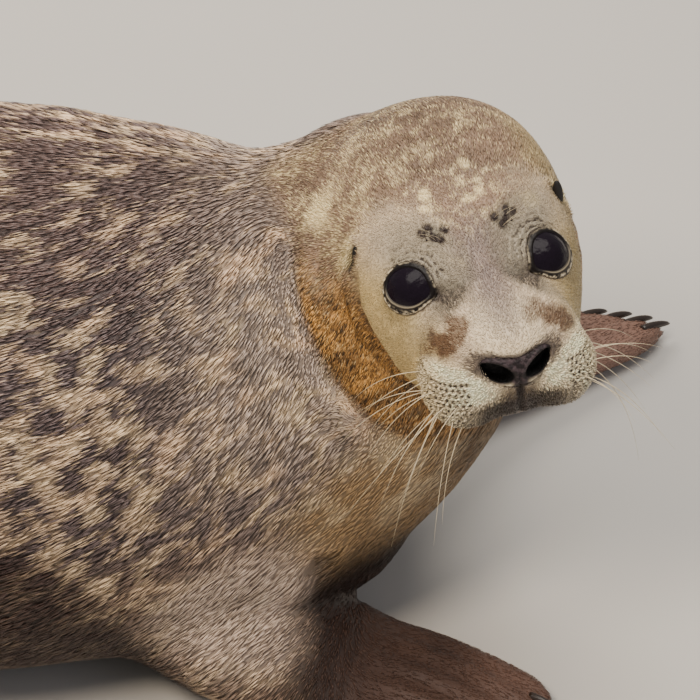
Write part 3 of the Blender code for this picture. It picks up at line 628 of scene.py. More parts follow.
def limb_shape(limb, digits=True, count=60, sides=96):
    """A limb: flat oval rings, ridged by its digits towards a rounded end."""
    at = np.sin(np.linspace(0, np.pi / 2, count))
    centre, forward, lead, normal = limb_frame(limb, at)
    half_width, half_thick = limb_sizes(limb, at)
    across, sine = np.cos(circle_angles(sides)), np.sin(circle_angles(sides))
    end = np.sqrt(np.clip(1 - np.clip((at - 0.88) / 0.12, 0, 1) ** 2, 0, 1))
    spread = (half_width * (0.55 + 0.45 * end))[:, None] * across
    grown = np.clip((at - 0.45) / 0.3, 0, 1)[:, None] if digits else 0 * at[:, None]
    ridge = 1 + DIGIT_RIDGE * grown * digit_wave(across)
    high = (half_thick * (0.12 + 0.88 * end))[:, None] * sine * ridge
    late = np.clip((at - 0.3) / 0.7, 0, 1)[:, None]
    reach = late * (limb["slant"] * (1 - across) / 2 + limb["fork"] * across ** 2)
    reach = reach + DIGIT_SCALLOP * grown ** 3 * digit_wave(across)
    return ring_shape(centre[:, None] + spread[..., None] * lead[:, None]
                      + high[..., None] * normal[:, None] + reach[..., None] * forward[:, None])


def flesh_shapes():
    """Every closed shape the flesh is made of."""
    shapes = [head_shape(), trunk_shape()]
    for side in (1, -1):
        shapes.append(ring_shape(from_head(ball_rings(mirrored(PAD_CENTRE, side), PAD_RADII))))
    return shapes + neck_shapes() + [limb_shape(limb, name != "tail") for name, limb in LIMBS.items()]


def one_surface(name, grain, passes):
    """The flesh's shapes joined into one surface of even squares, smoothed a few times."""
    mesh = bpy.data.meshes.new(name)
    with edited(mesh) as whole:
        for points, faces in flesh_shapes():
            corners = [whole.verts.new(point) for point in points]
            for face in faces:
                whole.faces.new([corners[index] for index in face])
        bmesh.ops.recalc_face_normals(whole, faces=whole.faces)
    rough = add_object(name, mesh)
    remesh = rough.modifiers.new("one_surface", "REMESH")
    remesh.mode = "VOXEL"
    remesh.voxel_size = grain
    even = rough.modifiers.new("even", "SMOOTH")
    even.factor = 0.5
    even.iterations = passes
    result = finished_mesh(rough)
    bpy.data.objects.remove(rough)
    return result


def ease_hollows(mesh):
    """Let chosen hollows flow together: each vertex near one moves to the mean of its neighbours."""
    points = read_points(mesh)
    weight = np.zeros(len(points))
    for centre, reach in EASED:
        away = np.linalg.norm(points - centre, axis=1)
        weight = np.maximum(weight, np.clip(1.4 - 1.4 * away / reach, 0, 1))
    ends, others = read_links(mesh)
    near = weight[ends] > 0
    links = ends[near], others[near]
    for _ in range(EASE_PASSES):
        points += weight[:, None] * 0.7 * (neighbour_mean(points, links) - points) * (weight > 0)[:, None]
    write_points(mesh, points)


# ---- parts of the animal, as shares from 0 to 1 at points of its surface
def eye_frame(side):
    """Middle of an eyeball, the way it looks, and the ways to its inner corner and up over it."""
    outward, inner = unit(mirrored(EYE_OUTWARD, side)), mirrored(EYE_INNER, side)
    inner = unit(inner - (inner @ outward) * outward)
    return mirrored(EYE_CENTRE, side), outward, inner, np.cross(outward, inner) * side * -1


def eye_places(here):
    """For each eye: its side, and for points in the head's axes the angle in degrees from the middle
    of its opening, the turn about that (0 towards the nose, 90 up) and the distance from its middle."""
    places = []
    for side in (1, -1):
        centre, outward, inner, upper = eye_frame(side)
        away = here - centre
        distance = np.linalg.norm(away, axis=1)
        angle = np.degrees(np.arccos(np.clip(away @ outward / np.maximum(distance, 1e-9), -1, 1)))
        places.append((side, angle, np.degrees(np.arctan2(away @ upper, away @ inner)), distance))
    return places


def eye_distance(here):
    """Distance from the middle of the nearer eyeball."""
    return np.min([place[3] for place in eye_places(here)], axis=0)


def ear_place(side):
    """Middle of an ear's opening in the head's axes; side is 1 for the left."""
    return mirrored(EAR_CENTRE, side) + (0.0, 0.0, side * EAR_SLIP)


def ear_share(here, reach, shift=(0.0, 0.0, 0.0)):
    """Distance from the nearer ear's middle, or from a place beside it, as a share of a reach."""
    return np.min([reach_share(here, ear_place(side) + mirrored(shift, side), reach)
                   for side in (1, -1)], axis=0)


def lip_height(here):
    """Height over the line of the closed mouth, which rises behind the whisker pads."""
    return here[:, 2] + 0.0665 + 0.06 * np.abs(here[:, 1]) - 1.2 * np.clip(0.022 - here[:, 0], 0, 1)


def below_nose(here):
    """One on the front of the muzzle below the nose leather, nought above and behind."""
    return step(here[:, 0], 0.05, 0.056) * step(here[:, 2], -0.034, -0.04)


def near_side(points):
    """One over the right side and top of the animal from the middle of the trunk forwards."""
    return step(points[:, 1], 0.09, 0.02) * step(points[:, 0], -0.42, -0.3)


def nose_share(here):
    """Distance from the nose's middle as a share of the leather's reach that way, in front view;
    large behind the muzzle."""
    aside, high = np.abs(here[:, 1]), here[:, 2] - NOSE_MIDDLE
    reach = np.interp(np.degrees(np.arctan2(high, aside)), *np.array(NOSE_OUTLINE).T) * MM
    return np.hypot(aside, high) / reach + 9.0 * (here[:, 0] < 0.045)


def pit_distance(here):
    """Distance to the nearest whisker root of the pads, measured round the pad; large off them."""
    best = np.full(len(here), 1.0)
    for side in (1, -1):
        away = (here - mirrored(PAD_CENTRE, side)) / PAD_RADII
        reach = np.linalg.norm(away, axis=1)
        rise = np.degrees(np.arcsin(np.clip(away[:, 2] / reach, -1, 1)))
        turn = np.degrees(np.arctan2(side * away[:, 1], away[:, 0]))
        row = np.clip(np.round((PIT_RISE - rise) / PIT_ROW), 0, PIT_ROWS - 1)
        turn = turn - PIT_TURN - PIT_STEP / 2 * (row % 2)
        turn = turn - PIT_STEP * np.clip(np.round(turn / PIT_STEP), 0, PIT_NUMBERS - 1)
        off = np.radians(np.hypot(turn * np.cos(np.radians(rise)), rise - PIT_RISE + PIT_ROW * row))
        best = np.where(reach < 1.4, np.minimum(best, off * PAD_RADII[0]), best)
    return best


def brow_distance(here):
    """Distance to the nearest dark root over an eye, and to the middle of its group, in front view."""
    aside, high = np.abs(here[:, 1]) - BROW_MIDDLE[1], here[:, 2] - BROW_MIDDLE[2]
    behind = 9.0 * (here[:, 0] < -0.04)
    spots = [np.hypot(aside - out, 1.3 * (high - up)) for out, up in BROW_ROOTS]
    return np.min(spots, axis=0) + behind, np.hypot(aside, 1.3 * high) + behind


def muzzle_front(aside, high):
    """How far forward the muzzle's front is at a place beside and above the head's x: the foremost
    rounded section of the head that still holds the place."""
    rows = along_stations(HEAD_STATIONS, np.linspace(0.5, 0.0, 240))
    front = np.full(np.shape(aside), rows[0, 0])
    for along, half, top, under in rows:
        middle = HEAD_MIDDLE[0] * top + HEAD_MIDDLE[1] * under
        room = np.where(high > middle, top - middle, middle - under)
        inside = np.abs(aside / half) ** HEAD_ROUND + np.abs((high - middle) / room) ** HEAD_ROUND < 1
        front = np.where(inside, along, front)
    return front


def round_lid(turn, middle, reach):
    """One at a turn about the eye's opening, falling to nought on both sides of it."""
    return np.exp(-((turn - middle) / reach) ** 2)


def lid_angle(turn, side):
    """Angle of the lid's edge round the opening: a circle drawn out to the inner corner and
    flatter above and below."""
    return LID_ANGLE[side] + (7.0 * round_lid(turn, 0, 19) - 3.0 * round_lid(turn, 95, 50)
                              - 5.0 * round_lid(turn, -95, 50))


def lid_stretch(turn):
    """How much wider than its profile a lid's edge is: most below the eye and in the inner corner."""
    return (1 + 0.5 * round_lid(turn, 0, 14) + 0.15 * round_lid(turn, 70, 60)
            + 0.75 * round_lid(turn, -95, 50))


def past_lid(angle, turn, side):
    """Degrees of the lid's profile past the edge of the opening."""
    return (angle - lid_angle(turn, side)) / lid_stretch(turn)


def lid_wave(here, past):
    """Fine wrinkles round an eye: a wave of the angle past the lid's edge, its crests bent by noise."""
    return np.cos((past + 6.0 * rough_noise(here, 0.005, 93, 3)) * 2 * np.pi / 4.6)


def limb_share(points, limb, samples=30):
    """How far along a limb points are, and their distance from its middle line as a share of its
    own half width and thickness."""
    at = np.linspace(0, 1, samples)
    centre, forward, lead, normal = limb_frame(limb, at)
    half_width, half_thick = limb_sizes(limb, at)
    reach = np.linalg.norm(centre[1] - centre[0]) * 0.8
    best = np.full(len(points), np.inf)
    place = np.zeros(len(points))
    for number in range(samples):
        away = points - centre[number]
        out = ((away @ lead[number] / half_width[number]) ** 2
               + (away @ normal[number] / half_thick[number]) ** 2
               + (away @ forward[number] / reach) ** 2)
        nearer = out < best
        best = np.where(nearer, out, best)
        place = np.where(nearer, at[number], place)
    return place, np.sqrt(best)


# shares of a limb's length over which it comes free of the trunk
LIMB_STARTS = {"fore_right": (0.34, 0.6), "fore_left": (0.25, 0.45), "tail": (0.2, 0.5)}
HIND_START = (0.1, 0.35)


def limb_weight(points, name):
    """One on a limb's free part and nought off it, with how far along it the points are."""
    place, out = limb_share(points, LIMBS[name])
    return step(out, 2.3, 1.5) * step(place, *LIMB_STARTS.get(name, HIND_START)), place


def body_parts(points):
    """Shares of head, face, collar, chest, pads and flippers at world points, and their places in
    the head's axes."""
    here = to_head(points)
    x, y, z = here.T
    head = step(x, -0.165, -0.135) * step(z, -0.105, -0.09) * step(np.abs(y), 0.096, 0.08)
    beyond = (points - np.array(FOLD_POINT)) @ np.array(FOLD_FACING)
    beside = np.where(y < 0, step(beyond, -0.001, 0.003), step(x, -0.12, -0.08) * step(y, 0.11, 0.085))
    before = x - np.interp(z, FACE_EDGE_HEIGHTS, FACE_EDGE)
    uneven = 0.02 * (rough_noise(here, 0.006, 9, 3) - 0.5)
    wander = 0.022 * (rough_noise(points, 0.02, 8, 2) - 0.5)
    parts = {"here": here, "head": head, "beyond_fold": beside}
    parts["face"] = head * step(before, -0.003, 0.004)
    parts["face_soft"] = head * step(before + uneven, -0.016, 0.012)
    parts["collar"] = beside * (1 - step(before, -0.002, 0.003)) * step(z, 0.024, -0.034) \
        * step(points[:, 2], 0.15, 0.19)
    parts["chest"] = step(points[:, 0] + wander - np.clip(points[:, 2] - 0.15, 0, 1), 0.008, 0.058) \
        * step(z, -0.07, -0.098) * step(points[:, 1], 0.12, 0.06)
    away = np.minimum(*(reach_share(here, mirrored(PAD_CENTRE, side), PAD_RADII) for side in (1, -1)))
    parts["pad"] = step(away, 1.22, 1.02) * step(z, -0.021, -0.03) * step(x, 0.004, 0.02)
    for name in LIMBS:
        parts[name], parts[name + "_place"] = limb_weight(points, name)
    parts["limb"] = np.max([parts[name] for name in LIMBS], axis=0)
    return parts


# ---- the skin
def divided(mesh, chosen):
    """Halve the edges both ends of which are chosen, and the squares with them."""
    with edited(mesh) as whole:
        edges = [edge for edge in whole.edges if all(chosen[end.index] for end in edge.verts)]
        bmesh.ops.subdivide_edges(whole, edges=edges, cuts=1, use_grid_fill=True)
        bmesh.ops.triangulate(whole, faces=[face for face in whole.faces if len(face.verts) > 4])


def near_folds(points):
    """Distance from the nearer of the neck fold and the cheek fold."""
    neck, _ = line_distance(points, NECK_FOLD)
    cheek, _ = line_distance(points, from_head(CHEEK_FOLD))
    return np.minimum(neck, cheek)


def face_box(points, behind, aside, below, above):
    """True in the front of the head: before a place, and within a width and two heights."""
    x, y, z = to_head(points).T
    return (x > behind) & (np.abs(y) < aside) & (z > below) & (z < above)


def bare_skin():
    """The flesh's surface as even squares, halved on the face, the folds and the flippers, again on
    the face and again round the eyes and on the muzzle, then drawn onto a fine copy of itself."""
    fine = one_surface("fine_surface", VOXEL, 7)
    ease_hollows(fine)
    target = add_object("fine_surface", fine)
    mesh = one_surface("skin", SKIN_GRAIN, 2)
    points = read_points(mesh)
    parts = body_parts(points)
    limb = np.max([step(parts[name + "_place"], 0.3, 0.4) * parts[name] for name in LIMBS], axis=0) > 0.3
    divided(mesh, face_box(points, -0.046, 0.082, -0.1, 0.06) | limb | (near_folds(points) < 0.018))
    divided(mesh, face_box(read_points(mesh), -0.044, 0.08, -0.092, 0.055))
    points = read_points(mesh)
    divided(mesh, (eye_distance(to_head(points)) < 0.036) | face_box(points, 0.03, 1.0, -0.085, -0.008))
    made = add_object("skin", mesh)
    wrap = made.modifiers.new("onto_fine", "SHRINKWRAP")
    wrap.target = target
    wrap.wrap_method = "NEAREST_SURFACEPOINT"
    result = finished_mesh(made)
    bpy.data.objects.remove(made)
    bpy.data.objects.remove(target)
    points = read_points(result)
    links = read_links(result)
    weight = body_parts(points)["head"] * 0.6
    for _ in range(6):
        points += weight[:, None] * (neighbour_mean(points, links) - points)
    write_points(result, points)
    return result


def groove(distance, depth, width):
    """How far a groove sinks at a distance from its line, with a low swell on both its sides."""
    share = distance / width
    return -depth * np.exp(-share ** 2) + 0.35 * depth * np.exp(-((share - 1.9) / 0.8) ** 2)


def shape_face(points, out):
    """Move points of the face: sockets and lids, nose bed, mouth, groove under the nose, brows."""
    here = to_head(points)
    x, y, _ = here.T
    push = np.zeros(len(points))
    for side in (1, -1):
        tear, _ = line_distance(here, np.array(TEAR_LINE) * (1, side, 1))
        push += groove(tear, 0.0009, 0.0022)
    spots, middles = brow_distance(here)
    push += 0.001 * np.exp(-(middles / 0.008) ** 2) + 0.0006 * np.exp(-(spots / 0.0012) ** 2)
    push += 0.0004 - 0.0013 * np.exp(-(pit_distance(here) / 0.001) ** 2)
    push += groove(np.abs(y), 0.0015, 0.0018) * below_nose(here)
    push += groove(np.abs(lip_height(here)), 0.002, 0.0022) * step(x, 0.006, 0.014) * step(x, 0.075, 0.07)
    here = here + out @ HEAD_FRAME * push[:, None]
    here[:, 0] -= NOSE_BED * step(nose_share(here), 1.0, 0.84)
    lid = LID_HEIGHT * 0.6
    for side, angle, turn, distance in eye_places(here):
        past = past_lid(angle, turn, side)
        close = distance < EYE_RADIUS * 2.2
        height = np.where(past < 3, -0.004 + (0.004 + lid) * step(past, -2, 3), lid)
        crease = 0.0006 * lid_wave(here, past) * step(past, 6, 11) * step(past, 34, 14) \
            * (0.3 + 0.7 * step(turn, 0, 40) * step(turn, 175, 140))
        wanted = distance + (EYE_RADIUS + height - distance) * step(past, 34, 5) * close + crease * close
        centre = mirrored(EYE_CENTRE, side)
        here = centre + (here - centre) * (wanted / np.maximum(distance, 1e-9))[:, None]
    return from_head(here)


def shape_body(points, out):
    """Move points of the neck and trunk: folds, ear openings, the hollow before the flipper, and
    slow unevenness."""
    parts = body_parts(points)
    here = parts["here"]
    push = np.zeros(len(points))
    neck, place = line_distance(points, NECK_FOLD)
    fade = step(place, 0.02, 0.22) * step(place, 1.0, 0.9)
    side = (points - np.array(FOLD_POINT)) @ np.array(FOLD_FACING)
    push += fade * (-0.0042 * np.exp(-(neck / 0.0045) ** 2)
                    + np.where(side < 0, 0.003, 0.0008) * np.exp(-((neck - 0.009) / 0.006) ** 2))
    cheek, place = line_distance(here, CHEEK_FOLD)
    fade = step(place, 0.0, 0.12) * step(place, 1.0, 0.88)
    push += fade * groove(cheek, 0.0026, 0.0042)
    away = ear_share(here, EAR_SLIT)
    rim = np.exp(-((away - 1.6) / 0.45) ** 2) * step(here[:, 0], EAR_CENTRE[0] + 0.002, EAR_CENTRE[0])
    push += -0.004 * step(away, 1.2, 0.35) + 0.0016 * rim
    armpit, _ = line_distance(points, ARMPIT_LINE)
    push += groove(armpit, 0.005, 0.007)
    calm = 1 - np.maximum(parts["face"], parts["limb"])
    push += calm * 0.0022 * (rough_noise(points, 0.055, 11, 2) - 0.5)
    wrinkle = rough_noise(points * (1.0, 1.0, 0.45), 0.007, 12, 2)
    push += parts["collar"] * 0.0022 * (wrinkle - 0.5)
    return points + out * push[:, None]


def build_skin(sizes, colours):
    """The whole skin as a mesh with its coat's colour, outward direction and lie in attributes."""
    mesh = bare_skin()
    points, corners = read_points(mesh), read_triangles(mesh)
    links = read_links(mesh)
    out = vertex_normals(points, corners)
    points = shape_body(points, out)
    out = vertex_normals(points, corners)
    parts = body_parts(points)
    shallow = step(parts["here"][:, 0], -0.1, -0.03) * parts["head"]
    depth = sizes.trunk_coat + (sizes.face_coat - sizes.trunk_coat) * shallow
    depth = depth + (sizes.flipper_coat - depth) * parts["limb"]
    points = points - out * (depth * step(points[:, 2], 0.0, 0.004))[:, None]
    points = shape_face(points, out)
    points[:, 2] = np.maximum(points[:, 2], 0.0)
    write_points(mesh, points)
    out = vertex_normals(points, corners)
    lie = coat_lie(points, out, links)
    kept(mesh, "outward", out)
    kept(mesh, "lie", lie)
    shades = coat_colour(points, lie, colours)
    # the skin under the locks is darker: partly the wet under-fur's own colour, partly painted shade in the
    # gaps between the locks
    under_fur_and_gap_shade = 0.45 + 0.35 * parts["head"] + 0.15 * parts["face"] - 0.45 * parts["pad"]
    paint(mesh, "coat", shades * np.maximum(under_fur_and_gap_shade, parts["limb"] * 0.85)[:, None])
    smooth_faces(mesh)
    return mesh


def slanted(points, out):
    """Directions along the trunk's surface that run back and down, steeper towards the neck: those
    that show a chosen slant from beside and above the animal, on both its sides."""
    slant = np.radians(np.interp(points[:, 0], *np.array(SLANTS).T))
    slant = np.minimum(slant, np.radians(np.interp(points[:, 2], (0.06, 0.2, 0.26), (36, 42, 75))))
    side = np.clip((0.05 - points[:, 1]) / 0.08, -1, 1)
    none = np.zeros(len(points))
    up = np.stack([none, side * math.sin(SLANT_RISE), none + math.cos(SLANT_RISE)], 1)
    away = np.stack([none, side * math.cos(SLANT_RISE), none - math.sin(SLANT_RISE)], 1)
    way = -np.sin(slant)[:, None] * up
    way[:, 0] = -np.cos(slant)
    way[:, 1] -= np.where(points[:, 0] < -0.4, 0.12, 0.0)
    facing = (away * out).sum(1)
    return way - away * ((way * out).sum(1) * facing / (facing ** 2 + 0.1))[:, None]


def coat_lie(points, out, links):
    """The way the hair lies at each vertex: back from the nose over the head, down and back over
    neck and trunk, and out along the flippers, laid flat on the skin and evened with its neighbours."""
    parts = body_parts(points)
    here = parts["here"]
    nose = unit(from_head(here) - from_head(np.array(((0.085, 0.0, -0.03),))))
    back = -HEAD_FRAME[:, 0]
    head = nose * 0.65 + back * 0.35
    trunk = slanted(points, out)
    steep = unit(np.array((-0.45, -0.25, -1.0)))
    way = mixed(trunk, head, parts["head"] * step(here[:, 0], -0.15, -0.1))
    way = mixed(way, unit(0.45 * trunk + steep), parts["collar"])
    for name, limb in LIMBS.items():
        forward = limb_frame(limb, parts[name + "_place"])[1]
        way = mixed(way, forward, parts[name])
    for _ in range(14):
        way = unit(flattened(way, out))
        way = 0.4 * way + 0.6 * neighbour_mean(way, links)
    return unit(flattened(way, out))


# ---- markings
FACE_PATCHES = (            # place in the head's axes, reach, strength, which colour
    ((-0.0318, -0.0187, 0.0352), (0.005, 0.0036, 0.0045), 1.0, "fleck"),
    ((-0.024, -0.0215, 0.031), (0.003, 0.0042, 0.003), 0.9, "fleck"),
    ((-0.0225, 0.005, 0.0306), (0.0026, 0.008, 0.0026), 1.0, "fleck"),
    ((-0.027, 0.011, 0.0318), (0.0024, 0.0034, 0.0024), 1.0, "fleck"),
    ((-0.0434, 0.0088, 0.0418), (0.004, 0.003, 0.0035), 0.9, "fleck"),
    ((-0.025, 0.04, 0.02), (0.005, 0.008, 0.006), 0.45, "fleck"),
    ((-0.047, -0.066, -0.005), (0.004, 0.008, 0.012), 0.9, "fleck"),
    ((0.0409, -0.027, -0.0115), (0.012, 0.0085, 0.007), 0.8, "patch"),
    ((0.0395, -0.035, -0.0185), (0.013, 0.0085, 0.0075), 0.95, "patch"),
    ((0.03, -0.044, -0.027), (0.012, 0.009, 0.008), 0.62, "patch"),
    ((0.0425, 0.018, -0.009), (0.012, 0.0085, 0.0038), 0.6, "patch"),
    ((0.0442, 0.0265, -0.0135), (0.012, 0.0085, 0.005), 0.85, "patch"),
    ((0.0425, 0.035, -0.02), (0.012, 0.008, 0.0065), 0.9, "patch"),
)
UNDERSIDE_SHADE_EDGE = (-0.117, 0.183, 1.5)   # painted shade of the underside: height of its edge at a place, and its fall
# how many marks the back bears: the value needed for one, at heights over the floor
MARK_HEIGHTS = (0.1, 0.25, 0.272, 0.288, 0.302)
MARK_NEEDS = (0.5, 0.5, 0.55, 0.63, 0.73)
BLOTCH_GRAIN, RING_GRAIN = 0.0092, 0.015
PAINTED_ARMPIT_SHEEN = ((0.005, -0.13, 0.085), (0.05, 0.035, 0.045))     # painted sheen over the armpit, where the underside's painted shade is held back: middle, reach
# painted sheen of the wet fur on the near shoulder and the top of the near fore flipper: middle, reach
PAINTED_SHOULDER_SHEEN = ((0.0, -0.13, 0.09), (0.055, 0.04, 0.05))
TEMPLE = ((-0.087, -0.069, 0.01), (0.011, 0.012, 0.015))     # pale patch behind the right ear
EAR_SHADE = (0.0034, 0.009, 0.0092)      # reach of the painted shade round an ear's sunk opening
EAR_RIM = ((0.0062, 0.01, 0.013), (-0.0075, 0.002, -0.001))       # pale fur behind it: reach, shift


def drawn_out(points, lie, middle, share):
    """Points pressed together along their own lie, so that noise read at them makes streaks."""
    away = points - np.array(middle)
    return away - lie * ((away * lie).sum(1) * share)[:, None]


def ragged(share, dice):
    """A soft edge broken into separate hairs by a number for each, from minus to plus a half."""
    return np.clip(share + dice * 3.6 * share * (1 - share), 0, 1)


def patch_share(here, centre, reach, uneven, seed):
    """A soft patch with a ragged edge."""
    away = reach_share(here, centre, reach)
    return step(away + uneven * (rough_noise(here, 0.005, seed, 3) - 0.5), 1.25, 0.55)


def mottled_by(shade, values, low, swing):
    """A colour made darker and lighter by noise values: from low, by as much as swing."""
    return shade * (low + swing * values)[:, None]


def mottled(shade, points, grain, seed, low, swing, layers=3):
    """A colour made darker and lighter by rough noise of a grain."""
    return mottled_by(shade, rough_noise(points, grain, seed, layers), low, swing)


def marks(points, moved, dice):
    """Share of the trunk's pale marks.  A mark is where small blotches and the rings drawn by a slower
    noise as it crosses its middle value together pass a height; the height needed grows towards the
    back, so that the flank is netted with marks and the back bears a few."""
    long, high = points[:, 0], points[:, 2]
    blotches = rough_noise(moved + 5.0, BLOTCH_GRAIN, 35, 2)
    rings = np.clip(1 - 6.5 * np.abs(rough_noise(moved, RING_GRAIN, 31, 2) - 0.5), 0, 1)
    needed = np.interp(high, MARK_HEIGHTS, MARK_NEEDS) + 0.05 * step(long, -0.05, 0.0) \
        - 0.05 * step(long, -0.065, -0.105)
    needed = needed + 0.1 * (rough_noise(points, 0.1, 41, 2) - 0.5)
    return ragged(step(0.55 * blotches + 0.45 * rings, needed - 0.008, needed + 0.018), dice * 0.2)


def chest_colour(points, strands, shade):
    """Colour of the breast and throat: streaked brown with pale mottles, painted shade below and on
    the left, and darker at its front.
    """
    long, aside, high = points.T
    mottle = rough_noise(points, 0.014, 51, 3)
    return layered(mottled(shade["chest"], strands, 0.004, 50, 0.85, 0.3),
                   (shade["mark"] * 0.85, 0.6 * step(mottle, 0.44, 0.64) * step(high, 0.1, 0.16)),
                   (shade["collar"] * 0.6, 0.5 * step(high, 0.19, 0.235)),
                   # painted shade on the low chest and on its left side; its front is darker too
                   (shade["belly"] * 0.45, step(high, 0.128, 0.07)),
                   (shade["belly"], 0.9 * step(aside, -0.065, 0.01) * step(high, 0.225, 0.165)),
                   (shade["belly"], 0.6 * step(long, 0.105, 0.15) * step(high, 0.25, 0.19)))


def collar_colour(points, strands, here, shade):
    """Colour of the golden collar: dark dashes and pale hairs, and painted shade in the crease
    behind the cheek.
    """
    cheek, place = line_distance(here, CHEEK_FOLD)
    # painted shade in the crease of the cheek fold
    crease = step(cheek, 0.0085, 0.0015) * step(place, 0.0, 0.1) * step(place, 1.0, 0.9)
    low = rough_noise(points, 0.015, 65, 2) + 0.25 - points[:, 2]
    return layered(mottled(shade["collar"], strands, 0.0028, 62, 0.5, 1.5, 2),
                   (shade["patch"], 0.6 * step(low, 0.45, 0.68)),
                   (shade["fleck"], 0.4 * step(rough_noise(strands, 0.003, 67, 2), 0.6, 0.75)),
                   (shade["mouth"], 0.9 * step(rough_noise(strands, 0.0019, 61, 2), 0.55, 0.63)),
                   (shade["patch"] * 0.45, 0.75 * crease))


def trunk_colour(points, moved, lie, parts, shade, dice):
    """Colour of the trunk, chest and collar: a grey-brown ground, lighter on the shoulder, partly as
    painted sheen, and darker on the back, its pale marks, and the underside darkened by painted shade
    over its own darker wet fur, below a slanting edge."""
    long, high = points[:, 0], points[:, 2]
    strands = drawn_out(moved, lie, TRUNK_MIDDLE, 0.82)
    front = step(long, -0.2, 0.0)
    base = layered(shade["flank"],
                   (shade["shoulder"], 0.85 * step(long, -0.07, 0.02) * step(high, 0.13, 0.23)),
                   (shade["crown"], 0.75 * step(high, 0.17, 0.11)),
                   (shade["back"], step(high, 0.262, 0.292) * (1 - 0.45 * front)))
    base = mottled(base, points, 0.03, 3, 0.66, 0.66)
    bent = moved + 0.006 * np.stack([noise(moved, 0.012, seed) - 0.5 for seed in (21, 22, 23)], 1)
    mark = mixed(shade["mark"], shade["warm_mark"], rough_noise(points, 0.02, 45, 2))
    quiet = np.clip(parts["beyond_fold"] + parts["limb"] + parts["chest"], 0, 1)
    # painted shade of the underside over its own darker wet fur: dark below a slanting edge, held back
    # under the painted sheen over the armpit
    place, edge, fall = UNDERSIDE_SHADE_EDGE
    under = high + fall * np.clip(long - place, -0.02, 0.3) - edge
    dark = step(under + 0.05 * (rough_noise(bent, 0.03, 47, 2) - 0.5), 0.015, -0.035)
    dark = dark * (1 - step(reach_share(points, *PAINTED_ARMPIT_SHEEN), 1.3, 0.6))
    return layered(base, (mark, marks(points, bent, dice) * (1 - 0.8 * quiet) * (0.98 - 0.12 * front)),
                   (shade["belly"], ragged(dark * 0.9, dice * 0.6)),
                   (chest_colour(points, strands, shade), ragged(parts["chest"], dice * 0.6)),
                   (collar_colour(points, strands, parts["here"], shade), parts["collar"]))


def eye_surround(here, base, shade, fine):
    """The head's colour with grey skin round the eyes, painted shade in the troughs of its wrinkles,
    and the tear streak of the inner corner over it."""
    for side, angle, turn, distance in eye_places(here):
        centre, outward, inner, _ = eye_frame(side)
        past = past_lid(angle, turn, side)
        near = step(distance, EYE_RADIUS * 2.4, EYE_RADIUS * 1.9)
        upper = 0.3 + 0.7 * step(turn, -15, 45) * step(turn, 178, 125)
        corner = round_lid(turn, 0, 24)
        grey = np.clip(step(past, 46, 12) * upper + step(past, 50, 14) * corner * 0.7, 0, 1)
        broken = rough_noise(here, 0.0024, 95, 2)
        # painted shade in the troughs of the wrinkles round the eye
        wrinkle = step(-lid_wave(here, past), -0.1, 0.6) * step(past, 25, 17) * step(broken, 0.4, 0.52)
        strands = drawn_out(here, unit(inner - outward * 0.2), centre, 0.8)
        streaks = step(rough_noise(strands, 0.0016, 99, 2), 0.46, 0.56)
        tear = corner * np.maximum(step(past, 36, 10) * streaks, 0.8 * step(past, 19, 11))
        dark = np.max([step(past + 3 * broken, 11.5, 9.0), wrinkle * upper ** 2, tear * 0.9], axis=0)
        base = layered(base, (mottled_by(shade["eye_ring"], fine, 0.75, 0.5), grey * 0.66 * near),
                       (shade["mouth"], np.clip(dark, 0, 1) * 0.88 * near))
    return base


def muzzle_colour(here, base, parts, shade, fine, slow, dice):
    """The head's colour with the cream whisker pads and their dark pits, the dark fringe of the nose,
    the cleft below it and the dark chin over it, and painted shade in the mouth line and the groove
    under the nose."""
    x, y, z = here.T
    aside = np.abs(y)
    pad = shade["pad"] * (0.94 + 0.26 * slow + 0.4 * fine)[:, None]
    pad = layered(pad, (shade["cheek"], 0.45 * step(aside, 0.036, 0.05)),
                  (shade["mouth"], 0.96 * step(pit_distance(here) + 0.0008 * (fine - 0.5), 0.0016, 0.001)))
    rim = nose_share(here) + 0.45 * (fine - 0.5) + 0.2 * dice
    fringe = step(rim, 1.45, 1.15) * step(z, NOSE_MIDDLE - 0.003, NOSE_MIDDLE + 0.002) * 0.85
    under = step(z + 0.008 * (fine - 0.5), -0.045, -0.053) * step(aside, 0.04, 0.02) \
        * step(x, 0.026, 0.04)
    # painted shade in the groove under the nose
    line = step(aside + 0.002 * (fine - 0.5), 0.0042, 0.0016) * below_nose(here)
    cleft = 0.85 * step(aside + 0.008 * (fine - 0.5), 0.019, 0.004) * step(z, -0.036, -0.047) \
        * step(x, 0.045, 0.055)
    # painted shade in the mouth line
    lips = step(np.abs(lip_height(here)), 0.0048, 0.0022) * step(x, 0.006, 0.016) * parts["face"]
    return layered(base, (pad, parts["pad"] * 0.92),
                   (shade["nose"], np.maximum(fringe, step(rim, 1.18, 0.98) * 0.9)),
                   (shade["patch"] * 0.4, cleft),
                   (shade["mouth"], np.max([under, line, lips], axis=0) * 0.92))


